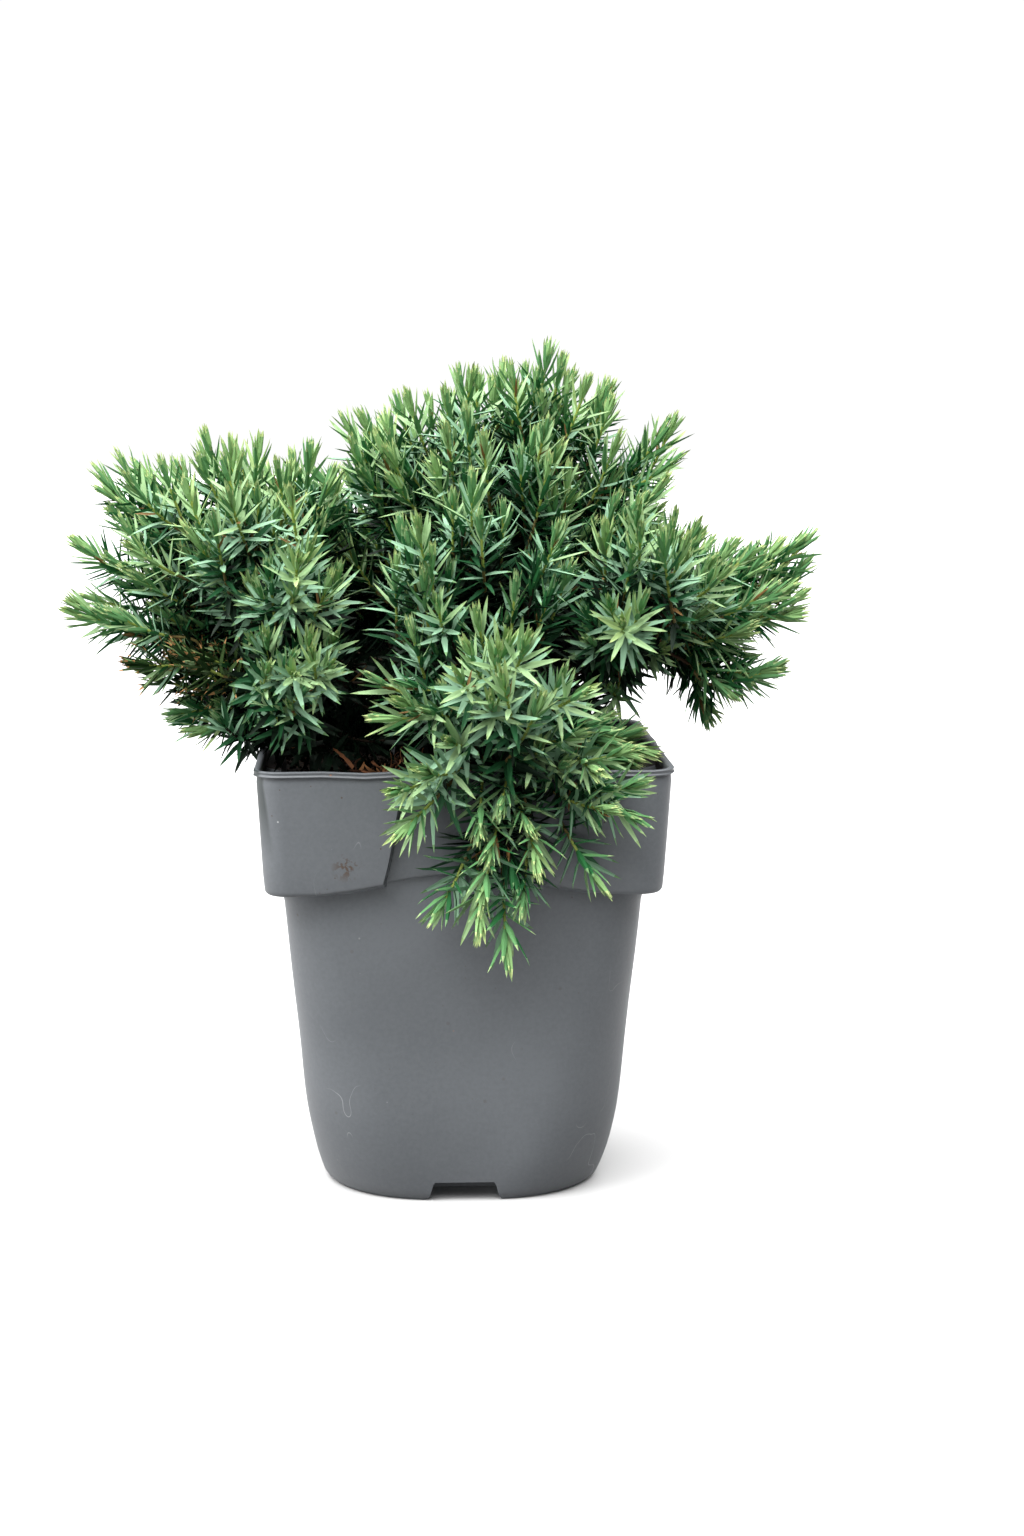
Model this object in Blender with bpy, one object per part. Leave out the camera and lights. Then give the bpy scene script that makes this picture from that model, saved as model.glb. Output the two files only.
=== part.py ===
"""Dwarf blue juniper in a square nursery pot.

Lengths are written in millimetres and turned into metres by MM. +Z is up. The origin is the
middle of the pot's flat underside, with the front of the plant towards -Y.
"""

import math
import random

import bmesh
import bpy
from mathutils import Matrix, Vector
from mathutils.bvhtree import BVHTree
from mathutils.geometry import interpolate_bezier, intersect_line_line

MM = 0.001
GAP = 0.3  # air between touching pieces
CUT_SPARE = 3.0  # how far a cutter reaches past what it cuts
WELD = 1e-6  # metres within which the ends of a tube's cap are one point
SMOOTH_ANGLE = 40.0

# Pot: a rounded square that grows squarer upwards, with a collar and a rolled lip
POT_HEIGHT = 115.0
LIP_HALF = 53.0
LIP_RADIUS = 7.5
LIP_DEPTH = 2.6
LIP_WIDTH = 1.9
LIP_ROUND = 0.7
COLLAR_TOP_HALF = 52.2
COLLAR_LOW_HALF = 50.0
COLLAR_RADIUS = 6.6
COLLAR_LOW = 83.5  # height of the collar's lower edge at the corners
COLLAR_ARCH = 5.2  # how much higher that edge is in the middle of a side
ARCH_SHARES = (1.0, 0.58, 0.56, 0.08)  # of the arch: middle, panel's edge in, out, corner's start
EDGE_STEP = 0.05  # height over which the outside steps out, under the collar and under the lip
BODY = (  # height, half width, corner radius
    (0.0, 35.4, 28.5),
    (1.2, 36.6, 28.5),
    (4.0, 37.6, 27.5),
    (11.0, 39.3, 25.5),
    (24.0, 41.3, 22.0),
    (COLLAR_LOW, 45.9, 12.0),
)
WALL = 1.1
FLOOR = 1.3
SLOT_TOP = 110.6  # sunk panel in the middle of each side of the collar
SLOT_TOP_HALF = 15.0
SLOT_LOW_HALF = 19.6
SLOT_SINK_TOP = 4.0
SLOT_SINK_LOW = 3.0
SLOT_EDGE = 0.9
SLOT_LEDGE = 0.8  # height over which the panel's upper edge comes out
SLOT_SIDE = 1.5  # how many walls thick the sides of the sunk panel are
PLAIN_STATIONS = (0.42, 0.46)  # points along half a flat side where there is no panel
CORNER_STEPS = 5
NOTCH_TOP_WIDTH = 16.0  # drainage notch at the foot of each side
NOTCH_LOW_WIDTH = 18.4
NOTCH_HEIGHT = 5.3
NOTCH_DEPTH = 13.0
DRAIN_RADIUS = 3.2
DRAIN_SIDES = 12
DRAIN_PLACE = 0.55  # share of the notch's depth

# Soil
SOIL_EDGE = 104.8
SOIL_TOP = 107.0
SOIL_MOUND = (  # half width, corner radius, height, half width of the part in line with the slot
    (33.0, 6.0, 106.0, SLOT_LOW_HALF),
    (10.0, 9.0, SOIL_TOP, 0.0),
)
SOIL_UNEVEN = 0.7
SOIL_SEED = 1

# Trunk: a short leaning stem with a root flare
TRUNK_FOOT = Vector((1.0, 2.0, SOIL_TOP + GAP))
TRUNK_LEAN = Vector((3.5, 1.5, 28.0))
TRUNK_SECTIONS = ((0.0, 7.2), (0.08, 5.6), (0.22, 4.7), (0.55, 4.2), (1.0, 3.2))  # share, radius
TRUNK_SIDES = 12
TRUNK_FLARES = 5
FLARE_SIZE = 0.22
FLARE_END = 0.17  # share of the trunk's height where the flares have faded
TRUNK_UNEVEN = 0.05
TRUNK_SEED = 3

# Boughs: target mass, height share on the trunk, bearing where it leaves, radius there and at its end
BOUGHS = (
    ("left_low", "left_low_tip", 0.34, 190, 2.3, 1.3),
    ("left_high", "left_crest", 0.62, 165, 2.0, 1.1),
    ("top_left", "top_left_mid", 0.86, 205, 1.8, 1.0),
    ("top_right", "top_peak", 0.90, 20, 1.9, 1.0),
    ("right_high", "right_tip", 0.60, 350, 2.2, 1.2),
    ("right_low", "right_front_low", 0.32, 320, 2.0, 1.1),
    ("front", "front_heart", 0.30, 268, 2.2, 1.2),
    ("back_left", "back_left_low", 0.42, 118, 2.1, 1.2),
    ("back_right", "back_right_low", 0.46, 62, 2.0, 1.1),
)
BOUGH_STEPS = 7
BOUGH_TESTS = 20  # points tested for room in each step
BOUGH_RISE = 0.45  # share of a bough's leaving direction that points up
BOUGH_PULL_OUT = 0.40  # how long a bough keeps its first direction, as a share of its span
BOUGH_PULL_IN = 0.35
BOUGH_END_GAP = 0.45  # air between a bough's end and the mass that it carries

# Hearts: where the sprays of one part of the crown spread from, the share of the reach at which
# its masses begin, and the way in which they are thin
HEARTS = {
    "left": (Vector((-46, 0, 146)), 0.22, Vector((0, 0, 1))),
    "top": (Vector((8, 4, 150)), 0.22, Vector((0, 0, 1))),
    "right": (Vector((46, -4, 146)), 0.22, Vector((0, 0, 1))),
    "middle": (Vector((2, -12, 140)), 0.22, Vector((0, 0, 1))),
    "front": (Vector((8, -60, 130)), 0.12, Vector((0, 1, 0))),
    "back": (Vector((-2, 22, 142)), 0.22, Vector((0, 0, 1))),
}

# Foliage masses: name, bearing, pitch, reach from the heart, width, thickness
MASSES = {
    "left": (
        ("low_tip", -168, 5, 60, 24, 20),
        ("mid_tip", -178, 22, 62, 26, 22),
        ("high", 170, 39, 68, 30, 26),
        ("crest", -160, 67, 58, 34, 30),
        ("crest_near", 14, 81, 51, 34, 30),
        ("front_high", -104, 37, 64, 40, 34),
        ("front_mid", -85, 19, 70, 34, 30),
        ("front_low", -86, -5, 70, 34, 30),
        ("brown", -149, -9, 49, 28, 22),
        ("low", -154, -50, 46, 42, 22),
    ),
    "top": (
        ("left", -171, 66, 64, 34, 30),
        ("left_mid", 180, 83, 66, 32, 30),
        ("peak", -26, 76, 74, 32, 28),
        ("right", 7, 62, 70, 30, 28),
        ("front", -101, 55, 67, 34, 30),
        ("front_right", -71, 51, 67, 34, 30),
        ("front_left", -160, 51, 68, 36, 32),
        ("right_high", -2, 46, 71, 24, 22),
        ("right_mid", -23, 35, 63, 28, 24),
    ),
    "right": (
        ("shoulder", -35, 55, 36, 30, 26),
        ("front", -93, 31, 58, 36, 32),
        ("front_low", -98, 6, 61, 36, 32),
        ("side_front", -55, 24, 43, 32, 28),
        ("tip", 7, 26, 54, 26, 22),
        ("tip_low", -8, 14, 46, 26, 20),
        ("low", -6, -18, 41, 24, 18),
        ("hang", 2, -47, 35, 15, 12),
        ("rim", -79, -35, 37, 27, 18),
    ),
    "middle": (
        ("left", -107, 37, 63, 34, 32),
        ("top", -90, 50, 64, 30, 28),
        ("right", -63, 36, 61, 34, 32),
        ("low_left", -100, 18, 58, 30, 28),
    ),
    "front": (
        ("rim_left", 174, 5, 37, 26, 20),
        ("heart", -94, 45, 27, 38, 26),
        ("over", -35, 4, 31, 31, 22),
        ("droop_left", -154, -45, 41, 28, 15),
        ("droop", -80, -81, 63, 30, 15),
        ("droop_right", -10, -36, 46, 33, 15),
    ),
    "back": (
        ("left_high", 165, 35, 76, 48, 38),
        ("left_low", 168, 6, 88, 42, 32),
        ("left_mid", 139, 7, 68, 46, 34),
        ("high_left", 132, 63, 66, 48, 42),
        ("mid", 98, 12, 61, 46, 36),
        ("high_right", 45, 60, 68, 48, 42),
        ("right_mid", 54, 5, 67, 44, 34),
        ("right_high", 16, 33, 78, 48, 38),
        ("right_low", 19, 6, 82, 42, 32),
        ("low", 94, -22, 58, 38, 24),
    ),
}
MASS_SECTIONS = ((0.12, 0.62), (0.38, 0.96), (0.66, 0.97), (0.89, 0.52))  # share, size
MASS_SIDES = 8
MASS_UNEVEN = 0.15
MASS_SLIDE = 0.04  # how far a point strays along the mass, as a share of its length
PARALLEL = 1e-3

# Colours (red, green, blue) and roughness
GREY_PLASTIC = ((0.155, 0.165, 0.178), 0.55)
DARK_SOIL = ((0.030, 0.019, 0.012), 0.95)
BARK = ((0.105, 0.062, 0.038), 0.90)
BLUE_GREEN = ((0.095, 0.185, 0.145), 0.70)


def clear_scene():
    for obj in list(bpy.data.objects):
        bpy.data.objects.remove(obj, do_unlink=True)


def new_collection(name):
    collection = bpy.data.collections.new(name)
    bpy.context.scene.collection.children.link(collection)
    return collection


def new_material(name, finish):
    colour, roughness = finish
    material = bpy.data.materials.new(name)
    material.use_nodes = True
    shader = material.node_tree.nodes["Principled BSDF"]
    shader.inputs["Base Color"].default_value = (*colour, 1.0)
    shader.inputs["Roughness"].default_value = roughness
    shader.inputs["Metallic"].default_value = 0.0
    return material


def add_object(name, bm, material, collection, smooth=True):
    """Puts a millimetre bmesh into the scene as a mesh in metres."""
    bmesh.ops.recalc_face_normals(bm, faces=bm.faces)
    bmesh.ops.scale(bm, vec=(MM, MM, MM), verts=bm.verts)
    mesh = bpy.data.meshes.new(name)
    bm.to_mesh(mesh)
    bm.free()
    if smooth:
        mesh.shade_smooth()
        mesh.set_sharp_from_angle(angle=math.radians(SMOOTH_ANGLE))
    if material:
        mesh.materials.append(material)
    obj = bpy.data.objects.new(name, mesh)
    collection.objects.link(obj)
    return obj


def add_cutter(name, bm, collection):
    cutter = add_object(name, bm, None, collection, smooth=False)
    cutter.hide_render = True
    cutter.display_type = "WIRE"
    return cutter


def subtract(obj, cutter):
    modifier = obj.modifiers.new(f"less {cutter.name}", "BOOLEAN")
    modifier.operation = "DIFFERENCE"
    modifier.solver = "EXACT"
    modifier.object = cutter


def loft(rings):
    """A closed solid through rings of the same number of points, with a flat cap at both ends."""
    bm = bmesh.new()
    rows = [[bm.verts.new(point) for point in ring] for ring in rings]
    for low, high in zip(rows, rows[1:]):
        for i in range(len(low)):
            j = (i + 1) % len(low)
            bm.faces.new((low[i], low[j], high[j], high[i]))
    bm.faces.new(reversed(rows[0]))
    bm.faces.new(rows[-1])
    quads = [f for f in bm.faces if len(f.verts) == 4]
    bmesh.ops.triangulate(bm, faces=quads, quad_method="FIXED")
    return bm


def mix(low, high, share):
    return low + (high - low) * share


# ---- pot and soil


def collar_half(height):
    return mix(COLLAR_LOW_HALF, COLLAR_TOP_HALF, (height - COLLAR_LOW) / (POT_HEIGHT - COLLAR_LOW))


def slot_share(height):
    return min(1.0, max(0.0, (height - COLLAR_LOW) / (SLOT_TOP - COLLAR_LOW)))


def side_stations(flat, slot_half):
    """Distances along half a side, from its middle to where the corner begins."""
    if slot_half:
        return [slot_half, slot_half + SLOT_EDGE, flat]
    return [flat * share for share in PLAIN_STATIONS] + [flat]


def rounded_square(half, radius, height, slot_half=0.0, sink=0.0, arch=0.0):
    """One ring of the pot. The middle of each side is sunk, and lifted by the arch."""
    flat = half - radius
    stations = [0.0] + side_stations(flat, slot_half)
    lifts = [arch * share for share in ARCH_SHARES]
    along = [(-t, lift) for t, lift in zip(stations[:0:-1], lifts[:0:-1])]
    along += zip(stations, lifts)
    corner = [
        Vector((flat + radius * math.sin(a), flat + radius * math.cos(a)))
        for a in (math.pi / 2 * k / CORNER_STEPS for k in range(1, CORNER_STEPS))
    ]
    points = []
    for quarter in range(4):
        turn = Matrix.Rotation(-math.pi / 2 * quarter, 2)
        for t, lift in along:
            depth = half - (sink if abs(t) <= slot_half else 0.0)
            points.append((turn @ Vector((t, depth)), height + lift))
        points += [(turn @ p, height) for p in corner]
    return [Vector((p.x, p.y, z)) for p, z in points]


def collar_ring(height, inset=0.0, arch=0.0, slot=True):
    """A ring of the collar, moved in from its outer face by the inset."""
    share = slot_share(height)
    half = collar_half(height) - inset
    slot_half = mix(SLOT_LOW_HALF, SLOT_TOP_HALF, share) + inset * SLOT_SIDE
    sink = mix(SLOT_SINK_LOW, SLOT_SINK_TOP, share) if slot else 0.0
    return rounded_square(half, COLLAR_RADIUS - inset, height, slot_half, sink, arch)


def body_rings(inset, floor):
    """Rings of the tapering body up to the collar, moved in from the outer face by the inset."""
    rings = [
        rounded_square(half - inset, radius - inset, height)
        for height, half, radius in BODY[:-1]
        if height >= floor
    ]
    height, half, radius = BODY[-1]
    slot_half = SLOT_LOW_HALF + inset * SLOT_SIDE
    rings.append(
        rounded_square(half - inset, radius - inset, height + inset, slot_half, arch=COLLAR_ARCH)
    )
    return rings


def body_half(height):
    """Half width and corner radius of the body's outer face at a height."""
    for (z0, h0, r0), (z1, h1, r1) in zip(BODY, BODY[1:]):
        if z0 <= height <= z1:
            share = (height - z0) / (z1 - z0)
            return mix(h0, h1, share), mix(r0, r1, share)
    raise ValueError(height)


def pot_outside():
    lip_low = POT_HEIGHT - LIP_DEPTH
    rings = body_rings(0.0, 0.0)
    rings.append(collar_ring(COLLAR_LOW + EDGE_STEP, arch=COLLAR_ARCH))
    rings.append(collar_ring(SLOT_TOP - SLOT_LEDGE))
    rings.append(collar_ring(SLOT_TOP, slot=False))
    rings.append(collar_ring(lip_low - EDGE_STEP, slot=False))
    lip = ((lip_low, 0.0), (POT_HEIGHT - LIP_ROUND, 0.0), (POT_HEIGHT, LIP_ROUND))
    for height, inset in lip:
        rings.append(rounded_square(LIP_HALF - inset, LIP_RADIUS - inset, height, SLOT_TOP_HALF))
    return loft(rings)


def pot_cavity(inset, floor, top_ring):
    """The room inside the pot, moved in from the outer faces by the inset."""
    half, radius = body_half(floor)
    rings = [rounded_square(half - inset, radius - inset, floor)]
    rings += body_rings(inset, floor)
    rings.append(collar_ring(COLLAR_LOW + inset + EDGE_STEP, inset, arch=COLLAR_ARCH))
    rings += top_ring
    return loft(rings)


def foot_blocks(grow):
    """The four drainage notches as one mesh of wedge blocks, each side grown by a length."""
    bm = bmesh.new()
    reach = BODY[1][1] + CUT_SPARE
    inner = BODY[1][1] - NOTCH_DEPTH - grow
    for quarter in range(4):
        made = bmesh.ops.create_cube(bm, size=1.0)["verts"]
        for vert in made:
            upper = vert.co.z > 0
            width = (NOTCH_TOP_WIDTH if upper else NOTCH_LOW_WIDTH) + 2 * grow
            vert.co = Vector((
                math.copysign(width / 2, vert.co.x),
                -reach if vert.co.y < 0 else -inner,
                NOTCH_HEIGHT + grow if upper else -CUT_SPARE,
            ))
        bmesh.ops.rotate(bm, verts=made, matrix=Matrix.Rotation(math.pi / 2 * quarter, 3, "Z"))
    return bm


def drain_holes():
    bm = bmesh.new()
    out = BODY[1][1] - NOTCH_DEPTH * DRAIN_PLACE
    size = {"radius1": DRAIN_RADIUS, "radius2": DRAIN_RADIUS, "depth": 2 * CUT_SPARE}
    for quarter in range(4):
        made = bmesh.ops.create_cone(bm, cap_ends=True, segments=DRAIN_SIDES, **size)["verts"]
        bmesh.ops.translate(bm, verts=made, vec=(0, -out, NOTCH_HEIGHT + WALL / 2))
        bmesh.ops.rotate(bm, verts=made, matrix=Matrix.Rotation(math.pi / 2 * quarter, 3, "Z"))
    return bm


def make_pot(parts, cutters):
    mouth = (LIP_HALF - LIP_WIDTH, LIP_RADIUS - LIP_WIDTH, POT_HEIGHT + CUT_SPARE, SLOT_TOP_HALF)
    top = [
        collar_ring(SLOT_TOP - SLOT_LEDGE + WALL, WALL),
        collar_ring(SLOT_TOP + WALL, WALL, slot=False),
        rounded_square(*mouth),
    ]
    cavity = add_cutter("pot_cavity", pot_cavity(WALL, FLOOR, top), cutters)
    subtract(cavity, add_cutter("notch_walls", foot_blocks(WALL), cutters))
    pot = add_object("pot", pot_outside(), new_material("grey plastic", GREY_PLASTIC), parts)
    subtract(pot, cavity)
    subtract(pot, add_cutter("notches", foot_blocks(0.0), cutters))
    subtract(pot, add_cutter("drain_holes", drain_holes(), cutters))


def make_soil(parts, cutters, rng):
    """Soil up to a little under the lip, with an uneven top and a flat place for the trunk."""
    inset = WALL + GAP
    top = [collar_ring(SOIL_EDGE, inset)]
    for half, radius, height, slot_half in SOIL_MOUND:
        ring = rounded_square(half, radius, height, slot_half)
        if height < SOIL_TOP:
            for point in ring:
                point.z += rng.uniform(-SOIL_UNEVEN, SOIL_UNEVEN)
        top.append(ring)
    bm = pot_cavity(inset, FLOOR + GAP, top)
    soil = add_object("soil", bm, new_material("dark soil", DARK_SOIL), parts)
    subtract(soil, add_cutter("notch_room", foot_blocks(WALL + GAP), cutters))


# ---- trunk and boughs


def trunk_point(share):
    return TRUNK_FOOT + TRUNK_LEAN * share


def trunk_solid(rng, grow=0.0):
    """A lofted stem whose foot spreads into flares. Grown, it is thicker and its top is higher."""
    rings = []
    for share, radius in TRUNK_SECTIONS:
        centre = trunk_point(share)
        ring = []
        for k in range(TRUNK_SIDES):
            angle = 2 * math.pi * k / TRUNK_SIDES
            flare = FLARE_SIZE * max(0.0, 1 - share / FLARE_END) * math.cos(TRUNK_FLARES * angle)
            out = radius * (1 + flare + rng.uniform(-TRUNK_UNEVEN, TRUNK_UNEVEN)) + grow
            ring.append(centre + Vector((math.cos(angle), math.sin(angle), 0)) * out)
        rings.append(ring)
    if grow:
        for p in rings[-1]:
            p.z += grow
    return loft(rings)


def bough_path(start, leave, end, arrive):
    span = (end - start).length
    pull_out = start + leave * span * BOUGH_PULL_OUT
    pull_in = end - arrive * span * BOUGH_PULL_IN
    return interpolate_bezier(start, pull_out, pull_in, end, BOUGH_STEPS * BOUGH_TESTS + 1)


def clear_length(path, radii, target, others):
    """How many points of the path stay clear of the foliage. It may end close to its own mass."""
    for n, (point, radius) in enumerate(zip(path, radii)):
        if target.find_nearest(point)[3] < BOUGH_END_GAP:
            return n
        for tree in others:
            if tree.find_nearest(point)[3] < radius + GAP:
                return n
    return len(path)


def make_bough(name, path, radii, material, parts, trunk_room):
    """A tapering limb from a bevelled curve, hollowed at its start to sit on the trunk."""
    curve = bpy.data.curves.new(name, "CURVE")
    curve.dimensions = "3D"
    curve.bevel_depth = MM
    curve.bevel_resolution = 1
    curve.use_fill_caps = True
    spline = curve.splines.new("POLY")
    spline.points.add(len(path) - 1)
    for point, place, radius in zip(spline.points, path, radii):
        point.co = (*(place * MM), 1.0)
        point.radius = radius
    guide = bpy.data.objects.new(f"{name}_curve", curve)
    parts.objects.link(guide)
    bpy.context.view_layer.update()
    graph = bpy.context.evaluated_depsgraph_get()
    mesh = bpy.data.meshes.new_from_object(guide.evaluated_get(graph))
    bpy.data.objects.remove(guide, do_unlink=True)
    bm = bmesh.new()
    bm.from_mesh(mesh)
    bpy.data.meshes.remove(mesh)
    bmesh.ops.remove_doubles(bm, verts=bm.verts, dist=WELD)
    bmesh.ops.scale(bm, vec=(1 / MM,) * 3, verts=bm.verts)
    subtract(add_object(name, bm, material, parts), trunk_room)


def make_wood(parts, cutters, masses):
    bark = new_material("bark", BARK)
    add_object("trunk", trunk_solid(random.Random(TRUNK_SEED)), bark, parts)
    room = add_cutter("trunk_room", trunk_solid(random.Random(TRUNK_SEED), GAP), cutters)
    trees = {name: BVHTree.FromBMesh(mass["bm"]) for name, mass in masses.items()}
    for name, target, share, bearing, thick, thin in BOUGHS:
        mass = masses[target]
        flat = math.radians(bearing)
        leave = Vector((math.cos(flat), math.sin(flat), BOUGH_RISE)).normalized()
        axis = (mass["tip"] - mass["base"]).normalized()
        path = bough_path(trunk_point(share), leave, mass["base"], axis)
        radii = [mix(thick, thin, n / (len(path) - 1)) for n in range(len(path))]
        others = [tree for key, tree in trees.items() if key != target]
        count = clear_length(path, radii, trees[target], others)
        picks = [round(n * (count - 1) / BOUGH_STEPS) for n in range(BOUGH_STEPS + 1)]
        make_bough(
            f"bough_{name}", [path[n] for n in picks], [radii[n] for n in picks], bark, parts, room
        )


# ---- foliage


def towards(bearing, pitch):
    b, p = math.radians(bearing), math.radians(pitch)
    return Vector((math.cos(p) * math.cos(b), math.cos(p) * math.sin(b), math.sin(p)))


def mass_solid(base, tip, width, thick, thin_way, rng):
    """An uneven spindle from where its twig enters to the furthest needle tip."""
    axis = tip - base
    side = axis.cross(thin_way)
    side = side.normalized() if side.length > PARALLEL else Vector((1, 0, 0))
    over = side.cross(axis).normalized()
    bm = bmesh.new()
    rows = []
    for n, (share, size) in enumerate(MASS_SECTIONS):
        row = []
        for k in range(MASS_SIDES):
            angle = 2 * math.pi * (k + n / 2) / MASS_SIDES
            out = size * (1 + rng.uniform(-MASS_UNEVEN, MASS_UNEVEN))
            slide = rng.uniform(-MASS_SLIDE, MASS_SLIDE)
            row.append(bm.verts.new(
                base + axis * (share + slide)
                + side * math.cos(angle) * out * width / 2
                + over * math.sin(angle) * out * thick / 2
            ))
        rows.append(row)
    for low, high in zip(rows, rows[1:]):
        for k in range(MASS_SIDES):
            j = (k + 1) % MASS_SIDES
            bm.faces.new((low[k], low[j], high[k]))
            bm.faces.new((low[j], high[j], high[k]))
    for pole, row in ((bm.verts.new(base), rows[0]), (bm.verts.new(tip), rows[-1])):
        for k in range(MASS_SIDES):
            bm.faces.new((row[k], row[(k + 1) % MASS_SIDES], pole))
    bmesh.ops.recalc_face_normals(bm, faces=bm.faces)
    return bm


def nearest_points(first, second):
    """The nearest points of two masses' axes, each a segment from base to tip."""
    a0, a1, b0, b1 = first["base"], first["tip"], second["base"], second["tip"]
    pairs = []
    lines = intersect_line_line(a0, a1, b0, b1)
    if lines:
        shares = [
            (p - s).dot(e - s) / (e - s).length_squared
            for p, s, e in ((lines[0], a0, a1), (lines[1], b0, b1))
        ]
        if all(0 <= share <= 1 for share in shares):
            pairs.append(lines)
    for point in (a0, a1):
        share = min(1.0, max(0.0, (point - b0).dot(b1 - b0) / (b1 - b0).length_squared))
        pairs.append((point, b0 + (b1 - b0) * share))
    for point in (b0, b1):
        share = min(1.0, max(0.0, (point - a0).dot(a1 - a0) / (a1 - a0).length_squared))
        pairs.append((a0 + (a1 - a0) * share, point))
    return min(pairs, key=lambda pair: (pair[0] - pair[1]).length)


def cut_by_plane(bm, place, normal):
    """Takes away what lies beyond the plane and closes the cut."""
    geometry = bm.verts[:] + bm.edges[:] + bm.faces[:]
    plane = {"plane_co": place, "plane_no": normal, "dist": WELD / MM}
    bmesh.ops.bisect_plane(bm, geom=geometry, clear_outer=True, **plane)
    rims = [edge for edge in bm.edges if edge.is_boundary]
    if rims:
        made = bmesh.ops.holes_fill(bm, edges=rims, sides=0)["faces"]
        bmesh.ops.triangulate(bm, faces=made)


def part_masses(masses):
    """Cuts every two masses that meet along one plane between their axes."""
    names = list(masses)
    for n, one in enumerate(names):
        for two in names[n + 1:]:
            first, second = masses[one], masses[two]
            trees = [BVHTree.FromBMesh(mass["bm"]) for mass in (first, second)]
            if not trees[0].overlap(trees[1]):
                continue
            p, q = nearest_points(first, second)
            normal = (q - p).normalized()
            share = first["width"] / (first["width"] + second["width"])
            middle = p + (q - p) * share
            cut_by_plane(first["bm"], middle - normal * GAP / 2, normal)
            cut_by_plane(second["bm"], middle + normal * GAP / 2, -normal)


def plan_masses():
    masses = {}
    for group, rows in MASSES.items():
        heart, start, thin_way = HEARTS[group]
        for n, (name, bearing, pitch, reach, width, thick) in enumerate(rows):
            way = towards(bearing, pitch)
            base = heart + way * reach * start
            tip = heart + way * reach
            rng = random.Random(f"{group} {n}")
            masses[f"{group}_{name}"] = {
                "base": base,
                "tip": tip,
                "width": width,
                "bm": mass_solid(base, tip, width, thick, thin_way, rng),
            }
    part_masses(masses)
    return masses


def make_foliage(parts, masses):
    for name, mass in masses.items():
        green = new_material(f"needles {name}", BLUE_GREEN)
        add_object(f"foliage_{name}", mass["bm"], green, parts, smooth=False)


def main():
    clear_scene()
    parts = new_collection("potted_juniper")
    cutters = new_collection("cutters")
    make_pot(parts, cutters)
    make_soil(parts, cutters, random.Random(SOIL_SEED))
    masses = plan_masses()
    make_wood(parts, cutters, masses)
    make_foliage(parts, masses)


main()
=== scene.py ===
import math
import random
from functools import partialmethod
from itertools import accumulate

import bmesh
import bpy
from mathutils import Matrix, Vector, noise
from mathutils.bvhtree import BVHTree
from mathutils.geometry import interpolate_bezier


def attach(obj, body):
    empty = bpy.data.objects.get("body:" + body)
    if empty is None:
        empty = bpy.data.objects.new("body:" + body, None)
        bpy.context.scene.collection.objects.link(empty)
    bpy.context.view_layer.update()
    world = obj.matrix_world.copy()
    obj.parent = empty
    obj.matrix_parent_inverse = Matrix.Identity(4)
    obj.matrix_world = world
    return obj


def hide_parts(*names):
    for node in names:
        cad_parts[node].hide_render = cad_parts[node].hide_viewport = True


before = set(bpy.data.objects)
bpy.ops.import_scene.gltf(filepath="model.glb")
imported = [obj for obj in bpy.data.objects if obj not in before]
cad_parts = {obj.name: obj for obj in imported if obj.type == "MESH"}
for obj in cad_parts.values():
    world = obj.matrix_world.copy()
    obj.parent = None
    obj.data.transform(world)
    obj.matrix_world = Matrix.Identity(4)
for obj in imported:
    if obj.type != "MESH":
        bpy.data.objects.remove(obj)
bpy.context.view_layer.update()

# Dwarf blue juniper in a square nursery pot. Metres, +Z up, the front towards -Y.
mm = 0.001
up = Vector((0, 0, 1))
body = "root"


def mix(low, high, share):
    return low + (high - low) * share


def smooth(low, high, value):
    t = min(1.0, max(0.0, (value - low) / (high - low)))
    return t * t * (3 - 2 * t)


def unit(v):
    return v.normalized()


def newObject(name, data, material=None):
    made = bpy.data.objects.new(name, data)
    bpy.context.scene.collection.objects.link(made)
    if material:
        data.materials.append(material)
    return made


def meshOf(bm, name, smoothAngle=None):
    mesh = bpy.data.meshes.new(name)
    bm.to_mesh(mesh)
    bm.free()
    if smoothAngle is not None:
        mesh.shade_smooth()
        mesh.set_sharp_from_angle(angle=math.radians(smoothAngle))
    return mesh


def bridge(bm, low, high):
    # the faces between two rings of corners
    corners = zip(low, low[1:] + low[:1], high[1:] + high[:1], high)
    return [bm.faces.new(four) for four in corners]


def collectionOf(name, meshes):
    made = bpy.data.collections.new(name)
    for mesh in meshes:
        made.objects.link(bpy.data.objects.new(mesh.name, mesh))
    return made


def settle(piece, slotName, *nodes):
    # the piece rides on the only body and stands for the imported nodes
    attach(piece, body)
    if nodes:
        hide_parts(*nodes)
    return piece


def nodesNamed(*starts):
    return sorted(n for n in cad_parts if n.startswith(starts))


def packedMesh(node):
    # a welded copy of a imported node's mesh
    bm = bmesh.new()
    bm.from_mesh(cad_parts[node].data)
    bmesh.ops.remove_doubles(bm, verts=bm.verts, dist=1e-6)
    bm.verts.index_update()
    return bm


def triangles(piece):
    return sum(len(p.vertices) - 2 for p in piece.data.polygons)


def tell(piece):
    print(f"{piece.name}: {triangles(piece)} triangles")


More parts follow.
